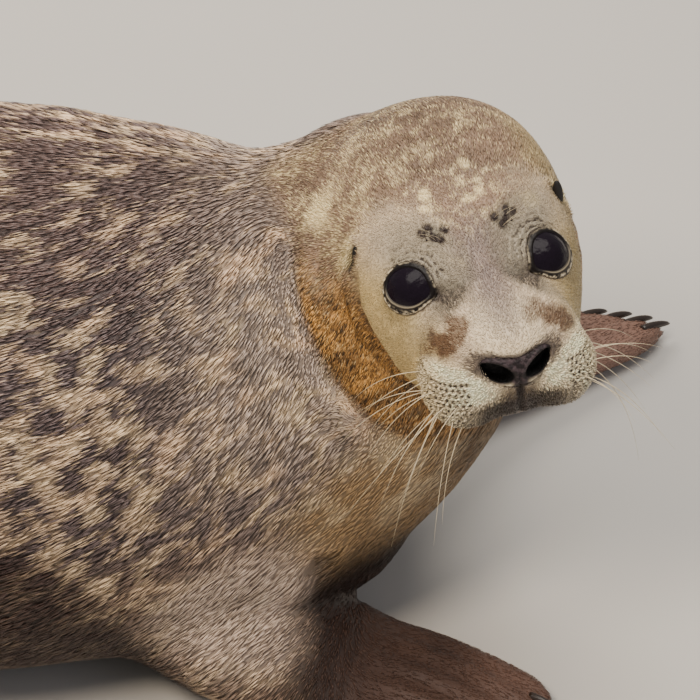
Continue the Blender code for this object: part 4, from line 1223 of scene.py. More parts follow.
def face_colour(moved, lie, parts, shade, dice):
    """Colour of the head: a brown crown with small streaks of pale flecks, a grey-beige face, golden
    cheeks, brown patches over the muzzle, and dark roots of stiff hairs over the eyes."""
    here = parts["here"]
    x, y, z = here.T
    aside = np.abs(y)
    strands = drawn_out(moved, lie, EYE_MIDDLE, 0.62)
    fine = rough_noise(strands, 0.0016, 70, 2)
    slow = rough_noise(here, 0.018, 72, 3)
    thick = rough_noise(here, 0.016, 75, 2) + 0.1 * step(y, 0.02, -0.05) + 0.06 * step(z, 0.045, 0.02)
    flecks = rough_noise(strands, 0.0019, 71, 2) + 0.38 * (thick - 0.5)
    crown = (0.36 + 0.72 * slow + 0.6 * fine) * (1 - 0.2 * step(z, 0.03, 0.048))
    crown = layered(shade["crown"] * crown[:, None], (shade["fleck"], 0.8 * step(flecks, 0.615, 0.675)),
                    (shade["cheek"] * 0.75, 0.65 * step(y, 0.034, 0.062)))

    middle = np.exp(-(y / 0.0125) ** 2) * step(x, 0.05, 0.015)
    side = step(aside + 0.012 * (slow - 0.5), 0.026, 0.05) * step(z, 0.016, -0.014)
    # painted shade: the golden cheek darker on the left side of the face
    golden = (0.75 + 0.5 * fine) * (1 - 0.3 * step(y, 0.04, 0.064))
    face = layered(shade["face"] * (0.56 + 0.4 * slow + 0.46 * fine)[:, None],
                   (shade["bridge"], np.clip(middle * (0.7 + 0.6 * slow), 0, 1)),
                   (shade["pad"], 0.55 * step(x, 0.026, 0.046) * step(aside, 0.024, 0.012)),
                   (shade["cheek"] * golden[:, None], side))
    brow = step(z - 0.35 * aside + 0.045 * (slow - 0.5) + 0.03 * (fine - 0.5) + 0.014 * dice,
                0.03, -0.002)
    over = np.exp(-(y / 0.0115) ** 2) * step(z, 0.034, 0.014) * step(z, -0.02, -0.004)
    base = layered(crown, (face, brow * ragged(parts["face_soft"], dice)),
                   (mottled_by(shade["bridge"], fine, 0.6, 0.8), ragged(0.75 * over, dice * 0.5)))
    for number, (centre, reach, strength, name) in enumerate(FACE_PATCHES):
        patch = patch_share(here, centre, reach, 1.3, 81 + number)
        base = mixed(base, mottled_by(shade[name], fine, 0.85, 0.3), ragged(strength * patch, dice))
    base = eye_surround(here, base, shade, fine)
    spots, middles = brow_distance(here)
    base = layered(base, (shade["eye_ring"], 0.65 * np.exp(-(middles / 0.0062) ** 2)),
                   (shade["mouth"], 0.95 * step(spots + 0.001 * (fine - 0.5), 0.0031, 0.002)))
    return muzzle_colour(here, base, parts, shade, fine, slow, dice)


def coat_colour(points, lie, colours, streak=0.0, dice=0.0):
    """Linear colour of the coat at world points.  Streak moves each point along the lie of its hair
    and dice breaks the edges of marks into separate hairs."""
    shade = {name: np.array(getattr(colours, name)) for name in colours.bl_rna.properties.keys()
             if name not in ("rna_type", "name")}
    parts = body_parts(points)
    here = parts["here"]
    moved = points + lie * (np.asarray(streak) * np.ones(len(points)))[:, None]
    trunk = trunk_colour(points, moved, lie, parts, shade, dice)
    head = face_colour(moved, lie, parts, shade, dice)
    throat = step(here[:, 2], -0.066, -0.074) * parts["head"]
    bare = 1 - parts["collar"]
    on_head = np.clip(parts["head"] * bare * (1 - 0.85 * throat)
                      + parts["beyond_fold"] * bare * (1 - parts["chest"])
                      * step(here[:, 2], -0.045, -0.02) * 0.8, 0, 1)
    skin = mottled(shade["flipper"], points, 0.02, 91, 0.7, 0.6)
    # the far fore flipper lighter, partly as painted sheen of its wet skin; the near fore flipper darker
    # over its part by the trunk
    wet = 0.45 * parts["fore_right"] * step(points[:, 0], 0.16, 0.12)
    skin = skin * (1 + 0.75 * parts["fore_left"] - wet)[:, None]
    base = layered(trunk, (head, on_head),
                   (shade["fleck"], ragged(0.95 * patch_share(here, *TEMPLE, 1.2, 79), dice)),
                   (shade["fleck"], ragged(step(ear_share(here, *EAR_RIM), 1.3, 0.6) * 0.95, dice)),
                   # painted shade round the ears' sunk openings
                   (shade["mouth"] * 0.6, step(ear_share(here, EAR_SHADE), 1.15, 0.8)),
                   (skin, parts["limb"] * 0.95),
                   # painted sheen of the wet fur on the near shoulder and the top of the near fore flipper
                   (mottled(shade["shoulder"], points, 0.012, 92, 0.95, 1.1),
                    0.85 * step(reach_share(points, *PAINTED_SHOULDER_SHEEN), 1.3, 0.5)))
    return np.clip(base, 0.003, 0.95)


# ---- materials
def node(tree, kind, settings=None, links=None):
    """Add a node: its settings by name, and links from (node, output) to its inputs."""
    made = tree.nodes.new(kind)
    for name, value in (settings or {}).items():
        if hasattr(made, name):
            setattr(made, name, value)
        else:
            made.inputs[name].default_value = value
    for name, (source, output) in (links or {}).items():
        tree.links.new(source.outputs[output], made.inputs[name])
    return made


def principled(name, **settings):
    """A material with a Principled surface and its settings, by socket name."""
    made = bpy.data.materials.new(name)
    made.use_nodes = True
    surface = made.node_tree.nodes["Principled BSDF"]
    for key, value in settings.items():
        surface.inputs[key.replace("_", " ")].default_value = value
    return made, made.node_tree, surface


def furred(name, roughness, coat, bump, grain, uneven):
    """Short wet fur: colour from the coat's own attribute, broken by hair-fine noise that also lifts
    the surface, so that light breaks up into small glints."""
    made, tree, surface = principled(name, Roughness=roughness, Coat_Weight=coat, Coat_Roughness=0.28,
                                     IOR=1.5)
    place = node(tree, "ShaderNodeTexCoord")
    attribute = node(tree, "ShaderNodeAttribute", {"attribute_name": "coat"})
    fine = node(tree, "ShaderNodeTexNoise", {"Scale": 1 / grain, "Detail": 3.0, "Roughness": 0.6},
                {"Vector": (place, "Object")})
    tone = node(tree, "ShaderNodeMapRange", {"To Min": 1 - uneven, "To Max": 1 + uneven},
                {"Value": (fine, "Fac")})
    shade = node(tree, "ShaderNodeVectorMath", {"operation": "SCALE"},
                 {"Vector": (attribute, "Color"), "Scale": (tone, "Result")})
    tree.links.new(shade.outputs["Vector"], surface.inputs["Base Color"])
    lift = node(tree, "ShaderNodeBump", {"Strength": bump, "Distance": 0.0006}, {"Height": (fine, "Fac")})
    tree.links.new(lift.outputs["Normal"], surface.inputs["Normal"])
    return made


def leather(name, settings, cell, depth, attribute=None):
    """Bare damp skin: small cobbles from cell noise, as on a nose or a lid."""
    made, tree, surface = principled(name, **settings)
    place = node(tree, "ShaderNodeTexCoord")
    cells = node(tree, "ShaderNodeTexVoronoi", {"Scale": 1 / cell, "feature": "SMOOTH_F1"},
                 {"Vector": (place, "Object")})
    lift = node(tree, "ShaderNodeBump", {"Strength": 0.55, "Distance": depth, "invert": True},
                {"Height": (cells, "Distance")})
    tree.links.new(lift.outputs["Normal"], surface.inputs["Normal"])
    if attribute:
        source = node(tree, "ShaderNodeAttribute", {"attribute_name": attribute})
        tree.links.new(source.outputs["Color"], surface.inputs["Base Color"])
    return made


def clouded(tree, surface, shade, scale, detail, dark, light):
    """Colour a surface by soft noise on Object coordinates, from a dark to a light share of a shade."""
    place = node(tree, "ShaderNodeTexCoord")
    cloud = node(tree, "ShaderNodeTexNoise", {"Scale": scale, "Detail": detail},
                 {"Vector": (place, "Object")})
    ramp = node(tree, "ShaderNodeValToRGB", {}, {"Fac": (cloud, "Fac")})
    for element, share in zip(ramp.color_ramp.elements, (dark, light)):
        element.color = (*[min(1.0, value * share) for value in shade], 1)
    tree.links.new(ramp.outputs["Color"], surface.inputs["Base Color"])


def horn(name, shade, stripe, roughness):
    """Horn or keratin: smooth, with faint darker and paler places."""
    made, tree, surface = principled(name, Roughness=roughness, IOR=1.54, Coat_Weight=0.2)
    clouded(tree, surface, shade, 1 / stripe, 4.0, 0.55, 1.5)
    return made


# ---- the coat: locks of hair as closed slim shapes
LOCK_CORNERS = ((0, 3, 1), (0, 2, 3), (0, 1, 2), (4, 1, 3), (4, 3, 2), (4, 2, 1))
LOCK_MIDDLE = (0.42, 0.62)  # where a lock is widest: shares of its length and of its lift
LOCK_PLACES = (0.0, 0.45, 0.45, 0.45, 1.0)      # of a lock's corners along it, for its colour
LOCK_TONES_AND_HIGHLIGHT = (0.72, 0.92, 0.92, 1.08, 1.14)     # darker at the root and lighter at the tip; the ridge lighter than the sides is a painted highlight
LOCK_PATCH = np.array(((0.0, -1.0), (-1.0, 0.0), (1.0, 0.0), (0.0, 0.3), (0.0, 1.0))) * 0.0014
LOCKS_A_PIECE = 32500
PIT_BARE, BROW_BARE = 0.0008, 0.001        # no lock stands nearer to a whisker's or stiff hair's root
LYING_HEIGHT = 0.0012       # skin lower than this lies on the floor and bears no locks
LOCK_SINK = 0.0004          # how far a lock's root is sunk in the skin, and its least height off the floor
SHADE_GAP_LOCKS, SHEEN_LOCKS = 0.2, 0.07     # shares of the slim locks among all: dark ones are painted shade of the gaps between wet clumps, pale ones painted sheen
DENSITIES = (("beyond_fold", 0.36), ("head", 0.62), ("face", 1.15), ("limb", 0.24))     # to a square mm


def lock_mesh(name, roots, out, lie, sizes, colours, unwrap):
    """Locks as closed shapes of five corners: root, left, right, ridge and tip.  The root is sunk in
    the skin, the ridge stands over the middle and the tip is raised by the lock's lift."""
    long, wide, thick, lift = (column[:, None] for column in sizes.T)
    aside = np.cross(lie, out)
    middle = roots + lie * long * LOCK_MIDDLE[0] + out * lift * LOCK_MIDDLE[1]
    corners = np.stack([roots - out * LOCK_SINK, middle - aside * wide / 2, middle + aside * wide / 2,
                        middle + out * thick, roots + lie * long + out * lift], 1)
    corners[..., 2] = np.maximum(corners[..., 2], LOCK_SINK)
    count = len(roots)
    faces = np.array(LOCK_CORNERS)[None] + 5 * np.arange(count)[:, None, None]
    mesh = bpy.data.meshes.new(name)
    mesh.vertices.add(count * 5)
    mesh.vertices.foreach_set("co", corners.ravel())
    mesh.loops.add(count * 18)
    mesh.loops.foreach_set("vertex_index", faces.ravel().astype(np.int32))
    mesh.polygons.add(count * 6)
    mesh.polygons.foreach_set("loop_start", np.arange(0, count * 18, 3, dtype=np.int32))
    mesh.update(calc_edges=True)
    along = np.array(LOCK_PLACES)[:, None]
    shades = colours[:, :1] * (1 - along) + colours[:, 1:] * along
    # painted highlight on each lock's ridge, with tones along the lock
    paint(mesh, "coat", np.clip(shades * np.array(LOCK_TONES_AND_HIGHLIGHT)[:, None], 0, 1).reshape(-1, 3))
    places = (unwrap[:, None] + LOCK_PATCH).reshape(-1, 2)[faces.ravel()]
    mesh.uv_layers.new(name="OFBake").data.foreach_set("uv", places.astype(np.float32).ravel())
    smooth_faces(mesh)
    return mesh


def scattered(mesh, density, random):
    """Random places on a mesh's triangles: numbers of triangles and shares of their corners, so that
    each triangle gets its area times its density of them."""
    points, corners = read_points(mesh), read_triangles(mesh)
    area = np.linalg.norm(triangle_facing(points, corners), axis=1) / 2
    wanted = area * density[corners].mean(1)
    count = np.floor(wanted + random.random(len(wanted))).astype(int)
    chosen = np.repeat(np.arange(len(corners)), count)
    first, second = random.random((2, len(chosen)))
    over = first + second > 1
    first, second = np.where(over, 1 - first, first), np.where(over, 1 - second, second)
    shares = np.stack([1 - first - second, first, second], 1)
    return corners[chosen], shares


def spread(values, corners, shares):
    """Values of vertices carried to places on triangles."""
    return (values[corners] * shares[..., None]).sum(1)


def unwrapped(points):
    """Place on a flat sheet from 0 to 1: along the animal, and round it."""
    middle = along_stations(TRUNK_STATIONS, np.linspace(0, 1, 40))
    order = np.argsort(middle[:, 0])
    side = np.interp(points[:, 0], middle[order, 0], middle[order, 1])
    high = np.interp(points[:, 0], middle[order, 0], middle[order, 2])
    round_it = np.arctan2(points[:, 1] - side, high - points[:, 2]) / (2 * np.pi) + 0.5
    along = (points[:, 0] - UNWRAP_START) / UNWRAP_LENGTH
    return np.stack([along, round_it], 1)


def unwrapped_head(points):
    """Place on a flat sheet from 0 to 1: the head seen from its nose, rolled out from the middle."""
    way = unit(to_head(points) - (-0.06, 0, -0.02))
    angle = np.arccos(np.clip(way[:, 0], -1, 1)) / np.pi
    turn = np.arctan2(way[:, 2], way[:, 1])
    return 0.5 + 0.49 * angle[:, None] * np.stack([np.cos(turn), np.sin(turn)], 1)


def within(values):
    """A column of unwrapped places moved and scaled to lie from 0.01 to 0.99."""
    low, high = values.min(0), values.max(0)
    return 0.01 + 0.98 * (values - low) / np.maximum(high - low, 1e-6)


def covered(here):
    """Where the nose leather, an ear's opening, or an eyeball and its lid's edge cover the skin."""
    eyes = [(past_lid(angle, turn, side) < 7) & (distance < EYE_RADIUS * 1.6)
            for side, angle, turn, distance in eye_places(here)]
    return (nose_share(here) < 1.0) | (ear_share(here, EAR_BED) < 1) | np.max(eyes, axis=0)


def coat_density(points):
    """Locks to a square metre at each vertex of the skin: many on the face and the near side, more in
    the folds, and none under the nose, eyes and ears or where the animal lies on the floor."""
    parts = body_parts(points)
    density = 0.07 + 0.16 * near_side(points)
    for name, wanted in DENSITIES:
        density = density + (wanted - density) * parts[name]
    density = density * (1 + 0.6 * step(near_folds(points), 0.02, 0.008)) * 1e6
    return np.where(covered(parts["here"]) | (points[:, 2] < LYING_HEIGHT), 0.0, density)


def lock_sizes(roots, parts, sizes):
    """Length, width and lift of the lock at each root, by the part of the body it grows on."""
    seen = near_side(roots)
    rows = np.stack([sizes.trunk_lock * (1.15 - 0.15 * seen), 0.0023 - 0.00118 * seen,
                     sizes.trunk_coat * np.ones(len(roots))], 1)
    for name, *wanted in (("beyond_fold", sizes.crown_lock * 1.6, 0.0012, 0.0018),
                          ("chest", sizes.trunk_lock * 0.7, 0.0009, 0.0009),
                          ("head", sizes.crown_lock * 0.9, 0.0007, 0.0011),
                          ("face", sizes.face_lock, 0.00055, sizes.face_coat),
                          ("pad", sizes.face_lock * 0.75, 0.0009, sizes.face_coat * 1.3),
                          ("limb", sizes.crown_lock * 0.7, 0.0008, sizes.flipper_coat)):
        rows = mixed(rows, np.array(wanted), parts[name])
    return rows


def lock_groups(roots, parts):
    """Numbers of the locks of each coat piece by its group, from the nose to the tail."""
    head = parts["head"] > 0.5
    limb = (parts["limb"] > 0.5) & ~head
    for group, members in (("head", head), ("flippers", limb), ("trunk", ~head & ~limb)):
        chosen = np.flatnonzero(members)
        chosen = chosen[np.argsort(-roots[chosen, 0], kind="stable")]
        pieces = max(1, math.ceil(len(chosen) / LOCKS_A_PIECE))
        for number, part in enumerate(np.array_split(chosen, pieces)):
            yield group, f"coat_{group}_{number + 1}", part


def grow_coat(skin, sizes, colours, look):
    """Locks over the whole skin, in pieces from the nose to the tail.  Most locks are broad; dark slim
    ones, painted shade of the gaps between wet clumps, and pale slim ones, painted sheen, lie over
    them."""
    random = np.random.default_rng(7)
    mesh = skin.data
    points = read_points(mesh)
    corners, shares = scattered(mesh, coat_density(points), random)
    roots = spread(points, corners, shares)
    here = to_head(roots)
    chosen = (pit_distance(here) > PIT_BARE) | (body_parts(roots)["pad"] < 0.5)
    chosen &= brow_distance(here)[0] > BROW_BARE
    corners, shares, roots = corners[chosen], shares[chosen], roots[chosen]
    out = unit(spread(read_vectors(mesh, "outward"), corners, shares))
    lie = spread(read_vectors(mesh, "lie"), corners, shares)
    parts = body_parts(roots)
    count = len(roots)
    bend = rough_noise(roots, 0.012, 13, 2) - 0.5
    turn = (random.normal(0, 0.07, count) + 0.35 * bend)[:, None]
    lie = unit(flattened(lie, out))
    lie = unit(lie + np.cross(out, lie) * turn)

    kind = random.random(count)
    dark, pale = kind < SHADE_GAP_LOCKS, kind > 1 - SHEEN_LOCKS
    slim = dark | pale
    calm = (parts["head"] * 0.2, parts["face"] * 1.7, parts["limb"] * 1.5, parts["chest"] * 2.4)
    contrast = 1 - 0.3 * np.max(calm, axis=0)
    # dark slim locks are painted shade of the gaps between wet clumps; pale slim ones are painted sheen
    tone = 1 + np.where(dark, -0.62, np.where(pale, 0.2, 0.0)) * contrast + random.normal(0, 0.05, count)
    middles = np.where(parts["head"][:, None] > 0.5, np.array(EYE_MIDDLE), np.array(TRUNK_MIDDLE))
    strands = rough_noise(drawn_out(roots, lie, middles, 0.85), 0.0024, 98, 2)
    tone = tone * (1 + 0.36 * contrast * (strands - 0.5))

    long, wide, lift = lock_sizes(roots, parts, sizes).T
    ridge = wide * (0.34 - 0.14 * parts["face"] * (1 - parts["pad"]))
    table = np.stack([long, wide, ridge, lift * 0.8], 1) * random.uniform(0.75, 1.2, (count, 4))
    table *= np.where(slim[:, None], (0.8, 0.45, 0.45, 1.22), 1.0)
    table[:, 0] *= 0.4 + 0.6 * step(eye_distance(parts["here"]), 0.024, 0.034)
    table[:, 0] *= 0.45 + 0.55 * np.maximum(step(near_folds(roots), 0.005, 0.022), parts["head"])
    streak = random.normal(0, 0.1, count) * table[:, 0]
    dice = random.uniform(-0.5, 0.5, count)
    shades = np.stack([coat_colour(roots + lie * table[:, :1] * share, lie, colours, streak, dice)
                       for share in (0.2, 0.9)], 1)
    shades = np.clip(shades * np.clip(tone, 0.25, 1.6)[:, None, None], 0, 1)
    for group, name, part in lock_groups(roots, parts):
        places = unwrapped_head(roots[part]) if group == "head" else within(unwrapped(roots[part]))
        piece = lock_mesh(name, roots[part], out[part], lie[part], table[part], shades[part], places)
        place_piece(name, piece, look)


# ---- small parts
def eyeball_mesh(side):
    """An eyeball with a low clear bulge: a ball whose radius grows towards the middle of the opening."""
    centre, outward, *_ = eye_frame(side)
    first = unit(np.cross(outward, (0.0, 0.0, 1.0)))
    around = turned(circle_angles(96), first, np.cross(outward, first))
    polar = np.linspace(0.004, np.pi - 0.004, 72)[:, None]
    radius = EYE_RADIUS * (1 + 0.045 * np.clip(1 - (np.degrees(polar) / 36.0) ** 2, 0, 1) ** 2)
    return grid_mesh("eyeball", from_head(centre + radius[..., None] * turned(polar, outward, around)))


# a lid's edge from inside outwards: degrees past the opening's edge, height off the eyeball in mm
LID_PROFILE = ((-2.5, -1.2), (-2.0, -0.2), (-1.2, 0.45), (-0.3, 0.8), (0.8, 1.0), (2.0, 1.1),
               (3.2, 1.0), (4.0, 1.2), (5.0, 1.38), (6.0, 1.25), (7.0, 0.9), (8.0, 0.95), (9.0, 0.3),
               (9.6, -0.6), (9.8, -1.8), (4.0, -2.6))


def lid_mesh(side, colours):
    """The lids' edge: a closed profile carried round the opening.  From the inside outwards it comes
    out of the eyeball, rounds over a wet black edge, a pale speckled ridge and a dark crease, and
    sinks into the skin.  A pale line along the lower lid's edge is a painted reflection of the tear film."""
    black, pale = np.array(colours.mouth) * 0.22, np.array(colours.pad)
    centre, outward, inner, upper = eye_frame(side)
    turn = np.linspace(-180, 180, 200, endpoint=False)[:, None]
    past, high = np.array(LID_PROFILE).T
    wave = 1 + 0.06 * np.sin(np.radians(turn) * 7 + side) + 0.05 * np.sin(np.radians(turn) * 17)
    angle = np.radians(lid_angle(turn, side) + past * lid_stretch(turn))
    radius = EYE_RADIUS + high * MM * wave
    way = turned(angle, outward, turned(np.radians(turn), inner, upper))
    rows = from_head(centre + radius[..., None] * way)
    specks = rough_noise(rows.reshape(-1, 3), 0.0012, 96, 3).reshape(angle.shape)
    ridge = np.exp(-((past - 5.9 + 3.0 * (specks - 0.5)) / 1.8) ** 2) * step(specks, 0.34, 0.56) \
        * (1 - 0.95 * round_lid(turn, 70, 60))
    # painted reflection of the tear film: a pale line along the lower lid's edge
    film = 0.3 * np.exp(-((past + 0.3) / 0.7) ** 2) * step(turn, -12, -40) * step(turn, -172, -140)
    share = np.clip(ridge * (1 - np.exp(-(turn / 16.0) ** 2)) + film, 0, 1)[..., None]
    return grid_mesh("lids", rows, black + (pale - black) * share * 0.95, wrap_rows=True)


def nose_mesh(colours):
    """The nose leather: a thin cushion on the muzzle's front, wide above and narrow below.  Its front
    is the muzzle's own front raised by a millimetre, with two slanting bean-shaped nostrils pressed
    in, their rims raised and a groove down the middle; its edge and back are sunk in the skin."""
    front_rings, back_rings, sides = 90, 14, 220
    share = np.r_[np.sin(np.linspace(0.01, 1, front_rings) * np.pi / 2), np.linspace(1, 0.02, back_rings)]
    share, back = share[:, None], (np.arange(len(share)) >= front_rings)[:, None]
    angle = circle_angles(sides)
    around = np.degrees(np.arcsin(np.sin(angle)))
    reach = np.interp(around, *np.array(NOSE_OUTLINE).T) * MM
    for _ in range(12):
        reach = (np.roll(reach, 1) + 2 * reach + np.roll(reach, -1)) / 4
    y = share * reach * np.cos(angle)
    z = share * reach * np.sin(angle)
    x = muzzle_front(y * 0.96, np.clip(z + NOSE_MIDDLE, -0.045, -0.0195))
    for _ in range(6):
        x[1:-1] = (x[:-2] + 2 * x[1:-1] + x[2:]) / 4
        x = (np.roll(x, 1, 1) + 2 * x + np.roll(x, -1, 1)) / 4
    aside, up, long, half = NOSTRIL
    across = (np.abs(y) - aside) * math.cos(NOSTRIL_TURN) + (z - up) * math.sin(NOSTRIL_TURN)
    over = -(np.abs(y) - aside) * math.sin(NOSTRIL_TURN) + (z - up) * math.cos(NOSTRIL_TURN)
    over = over - 0.0005 * (across / long) ** 2
    away = np.sqrt((across / long) ** 2 + (over / half) ** 2)
    front = x + 0.0012 * (1 - share ** 6) - 0.0016 * step(share, 0.9, 1.0)
    front = front - NOSTRIL_DEPTH * step(away, 1.06, 0.55) + 0.0009 * np.exp(-((away - 1.25) / 0.2) ** 2)
    front = front - 0.0012 * np.exp(-(y / 0.001) ** 2) * step(z, 0.001, -0.004)
    x = np.where(back, x - 0.0016 - 0.0105 * step(share, 1.0, 0.9), front)
    base, dark, pale = np.array(colours.nose), np.array(colours.nose) * 0.03, np.array(colours.pad) * 0.75
    # painted shade: the nostrils' insides near black
    inside = (~back * step(away, 1.05, 0.93))[..., None]
    rim = np.exp(-((away - 1.3) / 0.2) ** 2) * step(over, 0.0005, -0.003) * step(np.abs(y), 0.003, 0.007)
    specks = rough_noise(np.stack([x, y, z], -1).reshape(-1, 3), 0.0016, 97, 3).reshape(x.shape)[..., None]
    shades = base * (0.4 + 1.1 * step(specks, 0.32, 0.66))
    shades = shades + (pale - base) * rim[..., None] * (0.7 + 0.6 * specks)
    shades = shades + (dark - shades) * inside
    return grid_mesh("nose_leather", from_head(np.stack([x, y, z + NOSE_MIDDLE], -1)), shades)


def ear_mesh(side):
    """The opening of an ear: a thin dark lens standing in its slit, painted shade of the opening."""
    centre = ear_place(side) + (0.0004, -side * 0.0034, 0.0)
    return grid_mesh("ear_opening", from_head(ball_rings(centre, (0.0025, 0.003, 0.0084), 24, 32)))


def skin_tree(skin):
    """The skin's triangles, ready to find the nearest place on them."""
    mesh = skin.data
    return BVHTree.FromPolygons(read_points(mesh).tolist(), read_triangles(mesh).tolist())


def onto_skin(tree, place):
    """The nearest place on the skin to one in the head's axes, and the way out there."""
    found, out, _, _ = tree.find_nearest(Vector(from_head(place[None])[0]))
    return np.array(found), np.array(out)


def pad_roots(tree):
    """Whisker roots of both pads: rows along each pad, every other one set half a step back.  Each
    is a place on the skin, the way out, its side, its row and its number in the row."""
    roots = []
    for side in (1, -1):
        for row, number in np.ndindex(PIT_ROWS, PIT_NUMBERS):
            turn = math.radians(PIT_TURN + PIT_STEP * (number + 0.5 * (row % 2)))
            rise = math.radians(PIT_RISE - PIT_ROW * row)
            way = np.array((math.cos(rise) * math.cos(turn), side * math.cos(rise) * math.sin(turn),
                            math.sin(rise)))
            found, out = onto_skin(tree, mirrored(PAD_CENTRE, side) + way * PAD_RADII)
            here = to_head(found[None])
            if here[0, 2] > -0.065 and nose_share(here)[0] > 1.15:
                roots.append((found, out, side, row, number))
    return roots


def brow_roots(tree):
    """Roots of the few stiff hairs over each eye: a place on the skin, the way out and its side."""
    ahead, beside, above = BROW_MIDDLE
    return [(*onto_skin(tree, mirrored((ahead - 0.9 * up, beside + aside, above + up), side)), side)
            for side in (1, -1) for aside, up in BROW_ROOTS]


def button_mesh(place, out, radius, height):
    """A low round swelling with a sunk middle: rings carried from under the skin over a rim."""
    rings = np.array(((0.9, -0.5), (1.0, 0.0), (0.8, 0.75), (0.45, 1.0), (0.12, 0.55)))
    first = unit(np.cross(out, (0.3, 0.2, 0.9)))
    circle = turned(circle_angles(8), first, np.cross(out, first))
    rows = place + rings[:, :1, None] * radius * circle + rings[:, 1:2, None] * height * out
    return grid_mesh("root", rows)


def hair_mesh(place, way, fall, reach, root, bend=1.0, rings=12, sides=6):
    """A stiff hair: a round tapered tube along a line that starts one way and droops or curls as the
    square of its length."""
    at = np.linspace(0, 1, rings)[:, None]
    line = place + way * reach * (at - 0.1 * bend * at ** 2) + fall * reach * 0.42 * bend * at ** 2
    line[0] -= way * 0.002
    forward = unit(np.gradient(line, axis=0))
    first = unit(np.cross(forward, (0.2, 0.9, 0.4)))
    circle = turned(circle_angles(sides), first[:, None], np.cross(forward, first)[:, None])
    radius = (root / 2 * (1 - 0.86 * at ** 1.3))[..., None]
    return grid_mesh("hair", line[:, None] + radius * circle)


def whisker_meshes(tree, sizes):
    """Whiskers of both pads and the stiff hairs of the brows."""
    random = np.random.default_rng(11)
    meshes = []
    forward, left, up = HEAD_FRAME.T
    for place, out, side, row, number in pad_roots(tree):
        if row < 2 or number < 2 or random.random() < 0.85:
            continue
        back = 0.1 + 0.09 * number
        way = unit(out * 0.55 + left * side * 0.75 + forward * (0.55 - back) - up * (0.1 + 0.105 * row))
        fall = unit(-up * 0.8 - forward * 0.25 + random.normal(0, 0.12, 3))
        share = (0.3 + 0.7 * math.sin(min(1.0, (number + 1) / 6) * math.pi / 2)) * (0.62 + 0.055 * row)
        reach = sizes.whisker * share * random.uniform(0.75, 1.0)
        meshes.append(hair_mesh(place, way, fall, reach, sizes.whisker_root * (0.55 + 0.45 * share),
                                random.uniform(0.7, 1.3)))
    for place, out, side in brow_roots(tree):
        way = unit(out * 0.7 + up * 0.35 + left * side * 0.2 + random.normal(0, 0.1, 3))
        meshes.append(hair_mesh(place, way, unit(left * side - up * 0.3), random.uniform(0.01, 0.022),
                                sizes.whisker_root * 0.42, 1.0, 8, 5))
    return meshes


def claw_meshes(limb, claw):
    """Five claws, one on each digit's end: tapering round rings along a drooping line, flattened
    below."""
    long, radius, sunk = claw
    half_width = limb["half_width"][-1]
    centre, forward, lead, normal = (row[0] for row in limb_frame(limb, np.array([0.985])))
    upward = normal if normal[2] > 0 else -normal
    share = np.linspace(0, 1, 14)
    angle = circle_angles(16)
    meshes = []
    for number in range(DIGITS):
        across = -0.8 + 0.4 * number
        reach = limb["slant"] * (1 - across) / 2 + DIGIT_SCALLOP + (limb["fork"] - 0.01) * across ** 2
        root = centre + lead * across * half_width * 0.72 + forward * reach
        root = root + upward * limb["half_thick"][-1] * 0.42
        bend = CLAW_DROOP * share
        run = (long * share - sunk)[:, None]
        line = root + forward * run * np.cos(bend)[:, None] - upward * run * np.sin(bend)[:, None] * 0.6
        thick = (radius * np.sqrt(np.clip(1.0005 - share ** 2.2, 0, 1)))[:, None, None]
        low = np.where(np.sin(angle) < 0, 0.72, 1.0) * np.sin(angle)
        around = np.cos(angle)[:, None] * lead * 0.92 + low[:, None] * upward
        rows = line[:, None] + thick * around
        rows[..., 2] = np.maximum(rows[..., 2], 0.0003)
        meshes.append(grid_mesh("claw", rows))
    return meshes


# ---- the stage
CAMERA_RISE = math.radians(40.0)
CAMERA_PLACE = (0.06797, -1.95604, 1.81668)
CAMERA_LENS = 222.4
LAMPS_AIM = (0.0, -0.05, 0.15)
SURROUND = ((1.0, 0.97, 0.93, 1.0), 0.34)       # colour and strength of the light from all round
FLOOR_REACH = 6.0
LAMPS = (               # name, place, size, power, colour: a broad sky, a key, a fill and a back light
    ("sky_light", (0.1, 0.2, 2.6), 2.2, 54.0, "#fff9f0"),
    ("key_light", (-0.7, -1.2, 2.1), 0.7, 52.0, "#ffefda"),
    ("fill_light", (1.5, -1.5, 1.3), 1.4, 8.0, "#f4f1ff"),
    ("back_light", (-0.6, 1.7, 1.3), 1.0, 34.0, "#fff6ea"),
)
GLEAMING = ("sky_light",)     # the lamps that show as reflections in wet eyes and fur


def add_floor(colours):
    """A flat square of pale floor."""
    across, along = np.meshgrid(*[np.linspace(-FLOOR_REACH, FLOOR_REACH, 3)] * 2)
    mesh = bpy.data.meshes.new("floor")
    quads = [(start, start + 1, start + 4, start + 3) for start in (0, 1, 3, 4)]
    mesh.from_pydata(np.stack([across, along, 0 * across], -1).reshape(-1, 3).tolist(), [], quads)
    floor = add_object("floor", mesh)
    look, tree, surface = principled("matt_studio_floor", Roughness=0.85)
    clouded(tree, surface, colours.floor, 3.0, 3.0, 0.94, 1.0)
    floor.data.materials.append(look)


